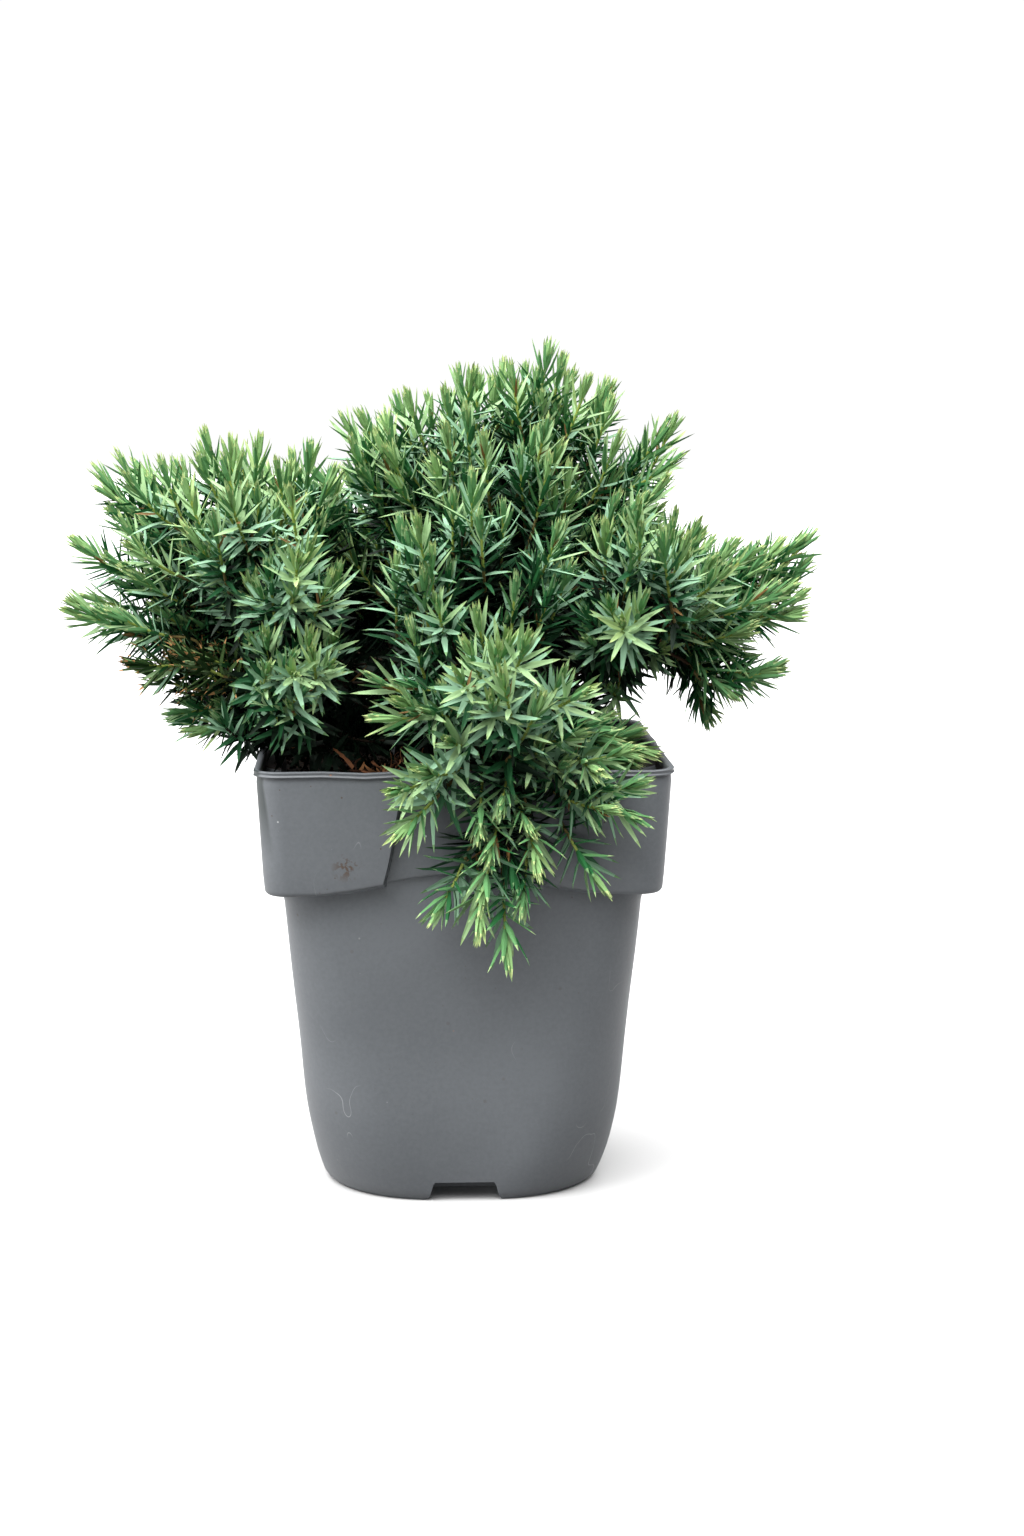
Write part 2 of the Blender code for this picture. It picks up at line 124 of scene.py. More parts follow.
class Number:
    # a socket of a node tree with arithmetic: a formula with it adds the nodes it needs
    def __init__(self, net, socket):
        self.net, self.socket = net, socket

    def calc(self, operation, other=0.0):
        return self.net.out("ShaderNodeMath", {0: self, 1: other}, operation=operation)

    __add__ = partialmethod(calc, "ADD")
    __sub__ = partialmethod(calc, "SUBTRACT")
    __mul__ = partialmethod(calc, "MULTIPLY")
    __truediv__ = partialmethod(calc, "DIVIDE")
    __gt__ = partialmethod(calc, "GREATER_THAN")
    __lt__ = partialmethod(calc, "LESS_THAN")

    def within(self, low, high):
        return self.calc("MAXIMUM", low).calc("MINIMUM", high)

    def ramp(self, low, high, toLow=0.0, toHigh=1.0, kind="LINEAR"):
        inputs = {"Value": self, "From Min": low, "From Max": high, "To Min": toLow, "To Max": toHigh}
        return self.net.out("ShaderNodeMapRange", inputs, interpolation_type=kind)


class Net:
    # a node tree being built; an input is given as a value, a socket or a Number
    def __init__(self, tree, seed=0):
        self.tree = tree
        self.seeds = iter(range(seed, seed + 100))

    def feed(self, socket, value):
        value = getattr(value, "socket", value)
        if isinstance(value, bpy.types.NodeSocket):
            self.tree.links.new(value, socket)
        else:
            socket.default_value = (*value, 1) if socket.type == "RGBA" else value

    def add(self, kind, inputs=None, **settings):
        made = self.tree.nodes.new(kind)
        for name, value in settings.items():
            setattr(made, name, value)
        for key, value in (inputs or {}).items():
            if isinstance(key, str):
                self.feed(next(s for s in made.inputs if s.name == key and s.enabled), value)
            else:
                self.feed(made.inputs[key], value)
        return made

    def out(self, kind, inputs=None, output=0, **settings):
        return Number(self, self.add(kind, inputs, **settings).outputs[output])

    def split(self, vector):
        return [Number(self, s) for s in self.add("ShaderNodeSeparateXYZ", {0: vector}).outputs]

    def noise(self, place, scale, detail=3.0, rough=0.5, stretch=None):
        if stretch:
            place = self.out("ShaderNodeMapping", {"Vector": place, "Scale": stretch})
        inputs = {"Vector": place, "Scale": scale, "Detail": detail, "Roughness": rough}
        return self.out("ShaderNodeTexNoise", inputs, "Fac")

    def blend(self, share, low, high):
        return self.out("ShaderNodeMix", {0: share, 6: low, 7: high}, 2, data_type="RGBA")

    def dots(self, place, scale, size, share):
        # small round dots: a share of the cells of a Voronoi pattern has one
        inputs = {"Vector": place, "Scale": scale, "Randomness": 1.0}
        cells = self.add("ShaderNodeTexVoronoi", inputs).outputs
        near = Number(self, cells["Distance"]).ramp(size, size * 0.5)
        return near * (self.split(cells["Color"])[0] < share)

    def finish(self, colour, height, distance, strength):
        # the colour and the relief go to the shader
        inputs = {"Height": height, "Distance": distance, "Strength": strength}
        shader = self.tree.nodes["Principled BSDF"].inputs
        self.feed(shader["Base Color"], colour)
        self.feed(shader["Normal"], self.out("ShaderNodeBump", inputs))

    def vary(self, low, high, kind="FLOAT"):
        inputs = {"Min": low, "Max": high, "Seed": next(self.seeds)}
        made = self.add("FunctionNodeRandomValue", inputs, data_type=kind)
        return Number(self, next(s for s in made.outputs if s.enabled))

    def stored(self, name, kind="FLOAT"):
        return self.out("GeometryNodeInputNamedAttribute", {"Name": name}, data_type=kind)

    def store(self, geometry, name, value, kind):
        inputs = {"Geometry": geometry, "Name": name, "Value": value}
        return self.out("GeometryNodeStoreNamedAttribute", inputs, data_type=kind)

    def dealt(self, points, kit, which, rotation, size):
        shapes = self.out("GeometryNodeCollectionInfo", {"Collection": kit, "Separate Children": True})
        inputs = {"Points": points, "Instance": shapes, "Pick Instance": True, "Instance Index": which,
                  "Rotation": rotation, "Scale": size}
        made = self.out("GeometryNodeInstanceOnPoints", inputs)
        return self.out("GeometryNodeRealizeInstances", {"Geometry": made})

    def painted(self, geometry, select, finish):
        inputs = {"Geometry": geometry, "Selection": select, "Material": finish}
        return self.out("GeometryNodeSetMaterial", inputs)


def geometryNet(name, source, result, values, seed=0):
    # a geometry tree with its sockets, and its inputs by their names
    net = Net(bpy.data.node_groups.new(name, "GeometryNodeTree"), seed)
    sockets = net.tree.interface
    sockets.new_socket(source, in_out="INPUT", socket_type="NodeSocketGeometry")
    sockets.new_socket(result, in_out="OUTPUT", socket_type="NodeSocketGeometry")
    for key, value in values.items():
        kind = "NodeSocketInt" if isinstance(value, int) else "NodeSocketFloat"
        sockets.new_socket(key, in_out="INPUT", socket_type=kind).default_value = value
    return net, {s.name: Number(net, s) for s in net.add("NodeGroupInput").outputs if s.name}


stemValues = ("fromTip", "leafy", "tone", "vigour", "straw", "thick")
scratchNames = ("shade", "toneIndex", "side") + stemValues


def baked(guide, name):
    # the result of an object's modifiers as a plain mesh
    graph = bpy.context.evaluated_depsgraph_get()
    made = bpy.data.meshes.new_from_object(guide.evaluated_get(graph))
    bpy.data.objects.remove(guide, do_unlink=True)
    made.name = name
    return made


def grown(name, mesh, tree, values):
    # a tree's geometry, grown from a mesh
    guide = newObject(f"{name}Guide", mesh)
    modifier = guide.modifiers.new("grow", "NODES")
    modifier.node_group = tree
    for item in tree.interface.items_tree:
        if item.in_out == "INPUT" and item.name in values:
            modifier[item.identifier] = values[item.name]
    made = baked(guide, name)
    for attribute in [a.name for a in made.attributes if a.name in scratchNames]:
        made.attributes.remove(made.attributes[attribute])
    return newObject(name, made)


# camera and light

view = {
    "distance": 0.7254,
    "aside": 0.0002,
    "aimHeight": 0.1084,
    "azimuth": -1.5,
    "elevation": 8.0,
    "turn": 1.10,  # degrees to the right, so the pot stands left of the middle
    "lens": 63.5,
}


def makeCamera():
    turn, lift = math.radians(view["azimuth"]), math.radians(view["elevation"])
    back = Vector((math.sin(turn) * math.cos(lift), -math.cos(turn) * math.cos(lift), math.sin(lift)))
    data = bpy.data.cameras.new("camera")
    data.lens = view["lens"]
    data.sensor_width = 36.0
    data.clip_start = 0.01
    camera = newObject("camera", data)
    camera.location = Vector((view["aside"], 0, view["aimHeight"])) + back * view["distance"]
    forward = Matrix.Rotation(-math.radians(view["turn"]), 3, "Z") @ -back
    camera.rotation_euler = forward.to_track_quat("-Z", "Y").to_euler()
    bpy.context.scene.camera = camera


light = {
    "behind": 1.03,  # brightness of the sky behind the plant
    "behindFrom": (0.80, 0.95),  # how far back it begins, as the Y of a direction
    "horizon": 0.34,  # brightness of the rest of the horizon
    "leftToRight": (1.75, 0.30),  # shares of it at the sides
    "below": 1.2,  # share of it under the horizon
    "zenith": 1.75,
    "between": (14, 62),  # degrees of height over which the sky brightens
    "under": (-4, -12),  # and over which it darkens towards the ground
    "floor": (0.47, 0.47, 0.47),
    "lamps": {  # bearing and height in degrees, strength, how wide it shines from in degrees
        "left": (-140, 54, 3.6, 34),
        "leftFront": (-98, 50, 2.05, 40),
        "side": (180, 14, 2.4, 60),
        "right": (-35, 58, 1.2, 40),
        "rightBack": (35, 64, 1.3, 40),
        "back": (110, 64, 1.6, 40),
    },
}


def makeLight():
    world = bpy.data.worlds.new("studio")
    world.use_nodes = True
    net = Net(world.node_tree)
    x, y, z = net.split(net.out("ShaderNodeTexCoord", output="Generated"))
    low, high = (math.sin(math.radians(a)) for a in light["between"])
    level, deep = (math.sin(math.radians(a)) for a in light["under"])
    left, right = (light["horizon"] * k for k in light["leftToRight"])
    side = x.ramp(-1.0, 1.0, left, right)
    around = y.ramp(*light["behindFrom"], side, light["behind"], "SMOOTHSTEP")
    around = z.ramp(deep, level, side * light["below"], around, "SMOOTHSTEP")
    sky = net.tree.nodes["Background"].inputs
    sky["Color"].default_value = (1, 1, 1, 1)
    net.feed(sky["Strength"], z.ramp(low, high, around, light["zenith"], "SMOOTHSTEP"))
    bpy.context.scene.world = world
    for name, (bearing, height, power, width) in light["lamps"].items():
        data = bpy.data.lights.new(name, "SUN")
        data.energy = power
        data.angle = math.radians(width)
        lamp = newObject(name, data)
        flat, high = math.radians(bearing), math.radians(height)
        lamp.location = (math.cos(high) * math.cos(flat), math.cos(high) * math.sin(flat), math.sin(high))
        lamp.rotation_euler = lamp.location.to_track_quat("Z", "Y").to_euler()
    bm = bmesh.new()
    bmesh.ops.create_grid(bm, x_segments=2, y_segments=2, size=6.0)
    floor = newObject("floor", meshOf(bm, "floor"), plainMaterial("pale floor", light["floor"], 0.9))
    floor.visible_diffuse = False  # the ground throws no light up under the plant
    bpy.context.scene.view_settings.view_transform = "Standard"


def plainMaterial(name, colour, roughness, specular=0.5):
    made = bpy.data.materials.new(name)
    made.use_nodes = True
    shader = made.node_tree.nodes["Principled BSDF"]
    shader.inputs["Base Color"].default_value = (*colour, 1)
    shader.inputs["Roughness"].default_value = roughness
    shader.inputs["Specular IOR Level"].default_value = specular
    return made


def patterned(name, roughness, specular):
    # a material, its node tree and the object's own coordinates in metres
    made = plainMaterial(name, (0.5, 0.5, 0.5), roughness, specular)
    net = Net(made.node_tree)
    return made, net, net.out("ShaderNodeTexCoord", output="Object")


makeCamera()
makeLight()
print("camera and light ready")


# the pot: a square tapering body under a collar with a sunk panel on each side

pot = {  # millimetres
    "height": 115.0,
    "body": (  # height, half width, corner radius
        (0.0, 35.4, 28.5), (1.2, 36.6, 28.5), (4.0, 37.6, 27.5), (11.0, 39.3, 25.5), (24.0, 41.3, 22.0),
        (44.0, 42.9, 18.6), (64.0, 44.6, 15.3), (83.5, 46.2, 12.0),
    ),
    "bodyRows": 34,
    "collarLow": 82.8,
    "collarHalves": (50.35, 52.35),
    "collarRadius": 6.6,
    "edgeRound": (0.9, 1.5),  # of the collar's lower edge: along a side and at a corner
    "arch": 5.2,
    "slot": (19.6, 15.0),  # half widths of the sunk panel at its foot and its top
    "slotTop": 110.6,
    "sink": (3.0, 4.0),
    "collarRows": (  # height, share of the arch that is left
        (87.5, 0.62), (91.0, 0.28), (95.0, 0.06), (99.0, 0), (103.0, 0), (106.5, 0), (108.6, 0),
    ),
    "panelTop": ((1.1, 1.0), (0.8, 0.85), (0.55, 0.5), (0.3, 0.15), (0.0, 0.0)),  # below its top, share sunk
    "slotEdge": 0.9,
    "lip": (  # height, half width: two thin rolls with a groove between
        (113.30, 52.00), (113.36, 52.42), (113.48, 52.74), (113.67, 52.90), (113.85, 52.84), (114.0, 52.68),
        (114.16, 52.62), (114.35, 52.66), (114.53, 52.82), (114.72, 52.84), (114.9, 52.66), (115.0, 52.35),
        (115.0, 51.9), (114.85, 51.5), (114.5, 51.25), (113.9, 51.1), (112.4, 51.0),
    ),
    "lipRadius": 7.4,
    "lipHalf": 53.0,
    "neck": 111.6,
    "clear": 0.05,  # between the body's last ring and the collar's first
    "roomRows": (87.5, 95.0, 103.0, 107.0),
    "above": (118.0, 51.9),  # where the room inside is cut through the mouth
    "waver": 0.28,  # how far the lip strays up and down
    "wobble": 0.12,
    "wall": 1.1,
    "floor": 1.3,
    "corner": 10,
    "notch": (  # height, half width
        (-3.0, 10.6), (-0.3, 10.5), (0.35, 9.55), (1.1, 9.05), (4.7, 8.1), (5.3, 7.6),
    ),
    "notchDepth": 13.0,
    "drain": (3.2, 6.0, 7.2, 5.8),  # radius, depth, distance in from the side, height
}


def smoothRow(rows, z):
    # a row of the table at any height, by a smooth curve through its neighbours
    n = max(k for k in range(len(rows) - 1) if rows[k][0] <= z or k == 0)
    t = (z - rows[n][0]) / (rows[n + 1][0] - rows[n][0])
    near = [rows[min(max(n + k, 0), len(rows) - 1)] for k in (-1, 0, 1, 2)]
    out = []
    for column in range(1, len(rows[0])):
        a, b, c, d = (row[column] for row in near)
        za, zb, zc, zd = (row[0] for row in near)
        span = zc - zb
        m0 = (c - a) / (zc - za) * span if zc > za else 0
        m1 = (d - b) / (zd - zb) * span if zd > zb else 0
        out.append((2 * t**3 - 3 * t**2 + 1) * b + (t**3 - 2 * t**2 + t) * m0
                   + (3 * t**2 - 2 * t**3) * c + (t**3 - t**2) * m1)
    return out


def sideStations(flat, slotHalf):
    # distances from the middle of a side, close together where the panel's edge is
    slotHalf = min(slotHalf, flat * 0.6)
    step = min(pot["slotEdge"], flat * 0.1)
    near = [slotHalf * k for k in (0.0, 0.25, 0.5, 0.75, 0.92)]
    edge = [slotHalf + k * step for k in (-0.25, 0.0, 0.2, 0.4, 0.6, 0.8, 1.0, 1.3)]
    last = edge[-1]
    return near + edge + [mix(last, flat, k) for k in (0.3, 0.65, 1.0)]


def potRing(half, radius, z, slotHalf, sink=0.0, arch=0.0, edge=None):
    # edge: a pair of (inset, lift) for the rounding under the collar, along a side and at a corner
    flat = half - radius
    stations = sideStations(flat, slotHalf)
    whole = [-t for t in stations[:0:-1]] + stations
    points = []
    for quarter in range(4):
        turn = Matrix.Rotation(-math.pi / 2 * quarter, 2)
        for t in whole:
            sunk = sink * (1 - smooth(slotHalf, slotHalf + pot["slotEdge"], abs(t)))
            raised = arch * (1 + math.cos(math.pi * abs(t) / flat)) / 2
            inset, lift = edge(smooth(flat * 0.75, flat, abs(t))) if edge else (0.0, 0.0)
            place = turn @ Vector((t, half - sunk - inset))
            points.append(Vector((place.x, place.y, z + raised + lift)))
        inset, lift = edge(1.0) if edge else (0.0, 0.0)
        for k in range(1, pot["corner"]):
            a = math.pi / 2 * k / pot["corner"]
            place = turn @ (Vector((flat, flat)) + Vector((math.sin(a), math.cos(a))) * (radius - inset))
            points.append(Vector((place.x, place.y, z + lift)))
    return points


def wavered(points, amount):
    # the moulding is not quite true
    for p in points:
        away = unit(Vector((p.x, p.y, 0)))
        p += away * pot["wobble"] * 2 * noise.noise(p / 24 + Vector((3, 8, 1)))
        p.z += amount * 2 * noise.noise(Vector((p.x / 17, p.y / 17, 4.0)))
    return points


def closedLoft(rings, scale=mm):
    bm = bmesh.new()
    rows = [[bm.verts.new(p * scale) for p in ring] for ring in rings]
    for low, high in zip(rows, rows[1:]):
        bridge(bm, low, high)
    for ring, flip in ((rows[0], True), (rows[-1], False)):
        middle = bm.verts.new(sum((v.co for v in ring), Vector()) / len(ring))
        for a, b in zip(ring, ring[1:] + ring[:1]):
            bm.faces.new((b, a, middle) if flip else (a, b, middle))
    bmesh.ops.recalc_face_normals(bm, faces=bm.faces)
    return bm


def collarHalf(z):
    low, high = pot["collarHalves"]
    return mix(low, high, (z - pot["collarLow"]) / (pot["height"] - pot["collarLow"]))


def collarRing(z, inset=0.0, arch=0.0, sunk=1.0, edge=None):
    share = (z - pot["collarLow"]) / (pot["slotTop"] - pot["collarLow"])
    slotHalf = mix(*pot["slot"], min(1.0, share)) + inset * 1.5
    sink = mix(*pot["sink"], smooth(0, 1, share)) * sunk
    return potRing(collarHalf(z) - inset, pot["collarRadius"] - inset, z, slotHalf, sink, arch, edge)


def bodyRings(inset, floor):
    top = pot["collarLow"]
    heights = [floor + (top - floor) * (k / pot["bodyRows"]) ** 1.5 for k in range(pot["bodyRows"])]
    rings = []
    for z in heights:
        half, radius = smoothRow(pot["body"], z)
        rings.append(potRing(half - inset, radius - inset, z, pot["slot"][0] + inset * 1.5))
    half, radius = smoothRow(pot["body"], top - 0.01)
    for drop, share in ((2.0, 0.85), (0.0, 1.0)):
        rings.append(potRing(half - inset, radius - inset, top + inset - drop, pot["slot"][0] + inset * 1.5,
                             arch=pot["arch"] * share))
    return rings


def lipRings(rows):
    return [wavered(potRing(half, pot["lipRadius"] + half - pot["lipHalf"], z, pot["slot"][1]), pot["waver"])
            for z, half in rows]


def potOutside():
    rings = bodyRings(0.0, 0.0)
    alongSide, atCorner = pot["edgeRound"]
    for a in (0, 22, 45, 68, 90):
        turn = math.radians(a)

        def rounding(share):
            size = mix(alongSide, atCorner, share)
            return size * (1 - math.sin(turn)), size * (1 - math.cos(turn))

        rings.append(collarRing(pot["collarLow"] + pot["clear"], arch=pot["arch"], edge=rounding))
    rings += [collarRing(z, arch=pot["arch"] * share) for z, share in pot["collarRows"]]
    rings += [collarRing(pot["slotTop"] - drop, sunk=sunk) for drop, sunk in pot["panelTop"]]
    rings.append(collarRing(pot["neck"], sunk=0.0))
    return closedLoft([wavered(ring, 0.0) for ring in rings] + lipRings(pot["lip"][:13]))


def insideRings(inset, floor):
    # the body's rings and the foot of the collar, seen from inside the wall
    foot = collarRing(pot["collarLow"] + inset + pot["clear"], inset, arch=pot["arch"])
    return bodyRings(inset, floor) + [foot]


def footBlocks(grow):
    # the drainage notches of the four sides, each side grown by a length
    bm = bmesh.new()
    reach = pot["body"][1][1] + 3.0
    inner = pot["body"][1][1] - pot["notchDepth"] - grow
    profile = [(z + (grow if z > 1 else 0), half + grow) for z, half in pot["notch"]]
    shape = [Vector((x, z)) for z, x in profile] + [Vector((-x, z)) for z, x in reversed(profile)]
    for quarter in range(4):
        turn = Matrix.Rotation(math.pi / 2 * quarter, 3, "Z")
        front, back = ([bm.verts.new(turn @ Vector((p.x, y, p.y)) * mm) for p in shape]
                       for y in (-reach, -inner))
        bridge(bm, back, front)
        bm.faces.new(front)
        bm.faces.new(reversed(back))
    bmesh.ops.recalc_face_normals(bm, faces=bm.faces)
    return newObject("footBlocks", meshOf(bm, "footBlocks"))


def drainHoles():
    bm = bmesh.new()
    radius, depth, inwards, height = pot["drain"]
    sizes = {"radius1": radius * mm, "radius2": radius * mm, "depth": depth * mm}
    for quarter in range(4):
        made = bmesh.ops.create_cone(bm, cap_ends=True, segments=32, **sizes)["verts"]
        bmesh.ops.translate(bm, verts=made, vec=Vector((0, inwards - pot["body"][1][1], height)) * mm)
        bmesh.ops.rotate(bm, verts=made, matrix=Matrix.Rotation(math.pi / 2 * quarter, 3, "Z"))
    return newObject("drainHoles", meshOf(bm, "drainHoles"))


def carved(name, bm, cutters, finish=None, smoothAngle=38):
    # a solid less the objects that cut it, as a plain mesh
    guide = newObject(f"{name}Guide", meshOf(bm, name))
    for cutter in cutters:
        modifier = guide.modifiers.new("cut", "BOOLEAN")
        modifier.operation, modifier.solver, modifier.object = "DIFFERENCE", "EXACT", cutter
    made = baked(guide, name)
    for cutter in cutters:
        bpy.data.objects.remove(cutter, do_unlink=True)
    made.shade_smooth()
    made.set_sharp_from_angle(angle=math.radians(smoothAngle))
    made.materials.clear()
    return newObject(name, made, finish)


potLook = {
    "grey": (0.080, 0.087, 0.095),
    "pale": (0.100, 0.108, 0.117),
    # inside: a near-black painted shade for the pot's inside and the panel's ledge, over the soil caked there
    "inside": (0.014, 0.010, 0.007),
    # panel shadow: a painted shadow at the top of the sunk panel in front, where the foliage shades it
    "panelShadow": (0.014, 0.020, 0.019),
    "dirt": (0.050, 0.032, 0.022),
    "rust": (0.24, 0.10, 0.045),
    "speck": (0.55, 0.55, 0.54),
    "scratch": (0.34, 0.35, 0.36),
    "dots": (  # scale of the pattern, size in its cell, share of the cells, colour
        (210.0, 0.13, 0.10, "dirt"), (330.0, 0.13, 0.05, "rust"),
        (300.0, 0.12, 0.05, "speck"), (520.0, 0.15, 0.10, "dirt"),
    ),
    "smear": (-29.6, -51.0, 90.6),  # a patch of dried soil on the collar, in millimetres
    "smearRadii": (4.2, 1.2),
    "soilAndShadeHeights": ((84.0, 88.0), (113.3, 112.5)),  # heights where the painted shade and the soil on the inside begin and end
    # where the painted shadow on the front panel fades out, along each axis
    "panelShadowFades": (("z", 92.0, 106.0), ("y", -50.4, -49.8), ("y", -43.0, -44.0), ("x", 4.0, -10.0)),
}


def potMaterial():
    look = potLook
    made, net, place = patterned("grey plastic", 0.50, 0.42)
    along = dict(zip("xyz", net.split(place)))
    cloud = net.noise(place, 26.0)
    grain = net.noise(place, 900.0, 2.0, 0.6)
    tint = cloud.ramp(0.32, 0.68) + grain.ramp(0.3, 0.7, -0.28, 0.28)
    colour = net.blend(tint, look["grey"], look["pale"])
    # pale hair scratches, here and there
    line = (net.noise(place, 60.0, 2.0, 0.4, (1.0, 1.0, 0.55)) - 0.5).calc("ABSOLUTE")
    where = net.noise(place, 38.0, 2.0).ramp(0.60, 0.66)
    colour = net.blend(line.ramp(0.0016, 0.0006) * where * 0.45, colour, look["scratch"])
    # grains of soil, mostly on the collar, and white dots
    upper = along["z"].ramp(0.070, 0.098, 0.25, 1.0)
    for scale, size, share, shade in look["dots"]:
        colour = net.blend(net.dots(place, scale, size, share) * upper, colour, look[shade])
    inputs = {0: place, 1: [v * mm for v in look["smear"]]}
    away = net.out("ShaderNodeVectorMath", inputs, "Value", operation="DISTANCE")
    blotch = net.noise(place, 520.0, 3.0, 0.6).ramp(0.50, 0.56)
    near = away.ramp(*(r * mm for r in look["smearRadii"]))
    colour = net.blend(near * blotch, colour, look["dirt"])
    # the inside and the panel's ledge: a near-black painted shade, with soil caked on them that also dulls
    # them
    normal = net.out("ShaderNodeNewGeometry", output="Normal")
    outwards = net.out("ShaderNodeVectorMath", {0: place, 1: (1, 1, 0)}, operation="MULTIPLY")
    facing = net.out("ShaderNodeVectorMath", {0: normal, 1: outwards}, "Value", operation="DOT_PRODUCT")
    ledge = net.split(normal)[2].ramp(0.4, 0.6)
    soilAndShade = facing.ramp(-0.010, -0.020).calc("MAXIMUM", ledge)
    for low, high in look["soilAndShadeHeights"]:
        soilAndShade = soilAndShade * along["z"].ramp(low * mm, high * mm)
    colour = net.blend(soilAndShade, colour, look["inside"])
    # a painted shadow at the top of the sunk panel in front
    panelShadowMask = facing > 0.01
    for axis, low, high in look["panelShadowFades"]:
        panelShadowMask = panelShadowMask * along[axis].ramp(low * mm, high * mm)
    colour = net.blend(panelShadowMask * 0.85, colour, look["panelShadow"])
    dull = cloud.ramp(0.3, 0.7, 0.44, 0.56) + soilAndShade * 0.44
    net.feed(net.tree.nodes["Principled BSDF"].inputs["Roughness"], dull)
    net.finish(colour, net.noise(place, 1500.0, 2.0, 0.6), 0.00006, 0.35)
    return made


def makePot():
    wall = pot["wall"]
    top = [collarRing(z, wall) for z in pot["roomRows"]]
    top += [collarRing(pot["slotTop"] - drop + wall, wall, sunk=sunk) for drop, sunk in pot["panelTop"][::2]]
    top = [wavered(ring, 0.0) for ring in top] + lipRings(pot["lip"][:11:-1] + (pot["above"],))
    room = carved("potRoom", closedLoft(insideRings(wall, pot["floor"]) + top), [footBlocks(wall)])
    piece = carved("potShell", potOutside(), [room, footBlocks(0.0), drainHoles()], potMaterial())
    return settle(piece, "grey_plastic", "pot")


tell(makePot())


# the soil, its crumbs and the bark shreds that lie on it

soil = {  # millimetres
    "edge": 105.2,
    "middle": 107.6,
    "rows": 30,
    "rough": 1.6,
    "hollow": (-27.0, -30.0, 20.0, 3.0),  # a dip towards the front left: place, radius, depth
    "gap": 0.3,
    "sideRows": (90.5, 92.0, 98.0, 103.0),
}


def soilHeight(x, y):
    hx, hy, radius, depth = soil["hollow"]
    out = max(abs(x), abs(y)) / 50.0
    z = mix(soil["middle"], soil["edge"], smooth(0.2, 1.0, out))
    z -= depth * smooth(radius, 0.0, math.hypot(x - hx, y - hy))
    place = Vector((x, y, 5.0))
    rough = noise.noise(place / 9) * 1.1 + noise.noise(place / 3.2) * 0.55 + noise.noise(place / 1.3) * 0.22
    return z + soil["rough"] * rough * smooth(1.0, 0.93, out)


def soilMaterial():
    made, net, place = patterned("dark soil", 0.95, 0.15)
    tint = net.noise(place, 160.0, 4.0, 0.65) + net.noise(place, 900.0).ramp(0.3, 0.7, -0.25, 0.25)
    colour = net.blend(tint.ramp(0.35, 0.72), (0.0085, 0.0055, 0.0035), (0.045, 0.026, 0.014))
    net.finish(colour, net.noise(place, 700.0, 4.0, 0.7), 0.0004, 0.7)
    return made


def makeSoil():
    inset = pot["wall"] + soil["gap"]
    rows = insideRings(inset, pot["floor"] + soil["gap"])
    rows = rows[:-5:4] + rows[-5:] + [collarRing(z, inset) for z in soil["sideRows"]]
    edge = collarRing(soil["edge"] - 0.6, inset)
    rows.append(edge)
    for k in range(1, soil["rows"]):
        share = 1 - k / soil["rows"]
        flat = [(p.x * share, p.y * share) for p in edge]
        rows.append([Vector((x, y, soilHeight(x, y))) for x, y in flat])
    piece = carved("soilBody", closedLoft(rows), [footBlocks(inset)], soilMaterial(), 60)
    return settle(piece, "soil", "soil")


def lumpMesh(name, seed, size, flat):
    bm = bmesh.new()
    bmesh.ops.create_icosphere(bm, subdivisions=1, radius=size * mm)
    for v in bm.verts:
        shape = 1 + 0.45 * noise.noise(v.co / mm * 0.9 / size + Vector((seed * 7.1, 0, 0)))
        v.co = Vector((v.co.x * shape, v.co.y * shape * 0.8, v.co.z * shape * flat))
    return meshOf(bm, name, 60)


def shredMesh(name, length, width, curl, twist, seed):
    # a torn strip of bark along +X, curled up at its end, jagged at both sides
    rng = random.Random(seed)
    bm = bmesh.new()
    steps = 11
    rows = []
    for n in range(steps + 1):
        share = n / steps
        turn = math.radians(curl) * share
        radius = length / math.radians(curl)
        place = Vector((radius * math.sin(turn), 0, radius * (1 - math.cos(turn))))
        thick = Vector((math.sin(turn), 0, -math.cos(turn))) * 0.16
        half = width / 2 * (1 - share ** 2.5) ** 0.6 * rng.uniform(0.7, 1.15) + 0.08
        lean = math.radians(twist) * share
        side = Vector((0, math.cos(lean), math.sin(lean))) * half
        hollow = Vector((0, 0, 0.22 * half))
        rows.append([bm.verts.new((place + v) * mm) for v in (
            side, hollow * -1, -side, -side + thick, thick - hollow, side + thick)])
    for low, high in zip(rows, rows[1:]):
        bridge(bm, low, high)
    bm.faces.new(reversed(rows[0]))
    bm.faces.new(rows[-1])
    bmesh.ops.recalc_face_normals(bm, faces=bm.faces)
    return meshOf(bm, name, 35)


litter = {
    "Crumb Density": 210000.0,
    "Crumb Least": 0.35,
    "Crumb Most": 1.0,
    "Shred Density": 520000.0,
    "Shred Least": 0.45,
    "Shred Most": 0.85,
    "Stand": 50.0,  # degrees by which shreds stand up from the soil
    "Pile": 0.0110,  # how high they are heaped
}
litterLook = {
    "crumb": (0.020, 0.012, 0.007),
    "shreds": ((0.040, 0.016, 0.007), (0.095, 0.036, 0.013), (0.165, 0.075, 0.030)),
    "patch": (-14.5, -43.0, 9.5, 5.0),  # where the shreds lie: middle and half widths, in millimetres
    "lumps": 6,
    "strips": (  # length, width, curl, twist
        (8, 1.1, 60, 40), (9, 1.5, 80, -35), (6, 0.9, 40, 60),
        (10, 1.2, 50, 30), (8, 1.8, 100, -50), (7, 0.6, 25, 10),
    ),
}


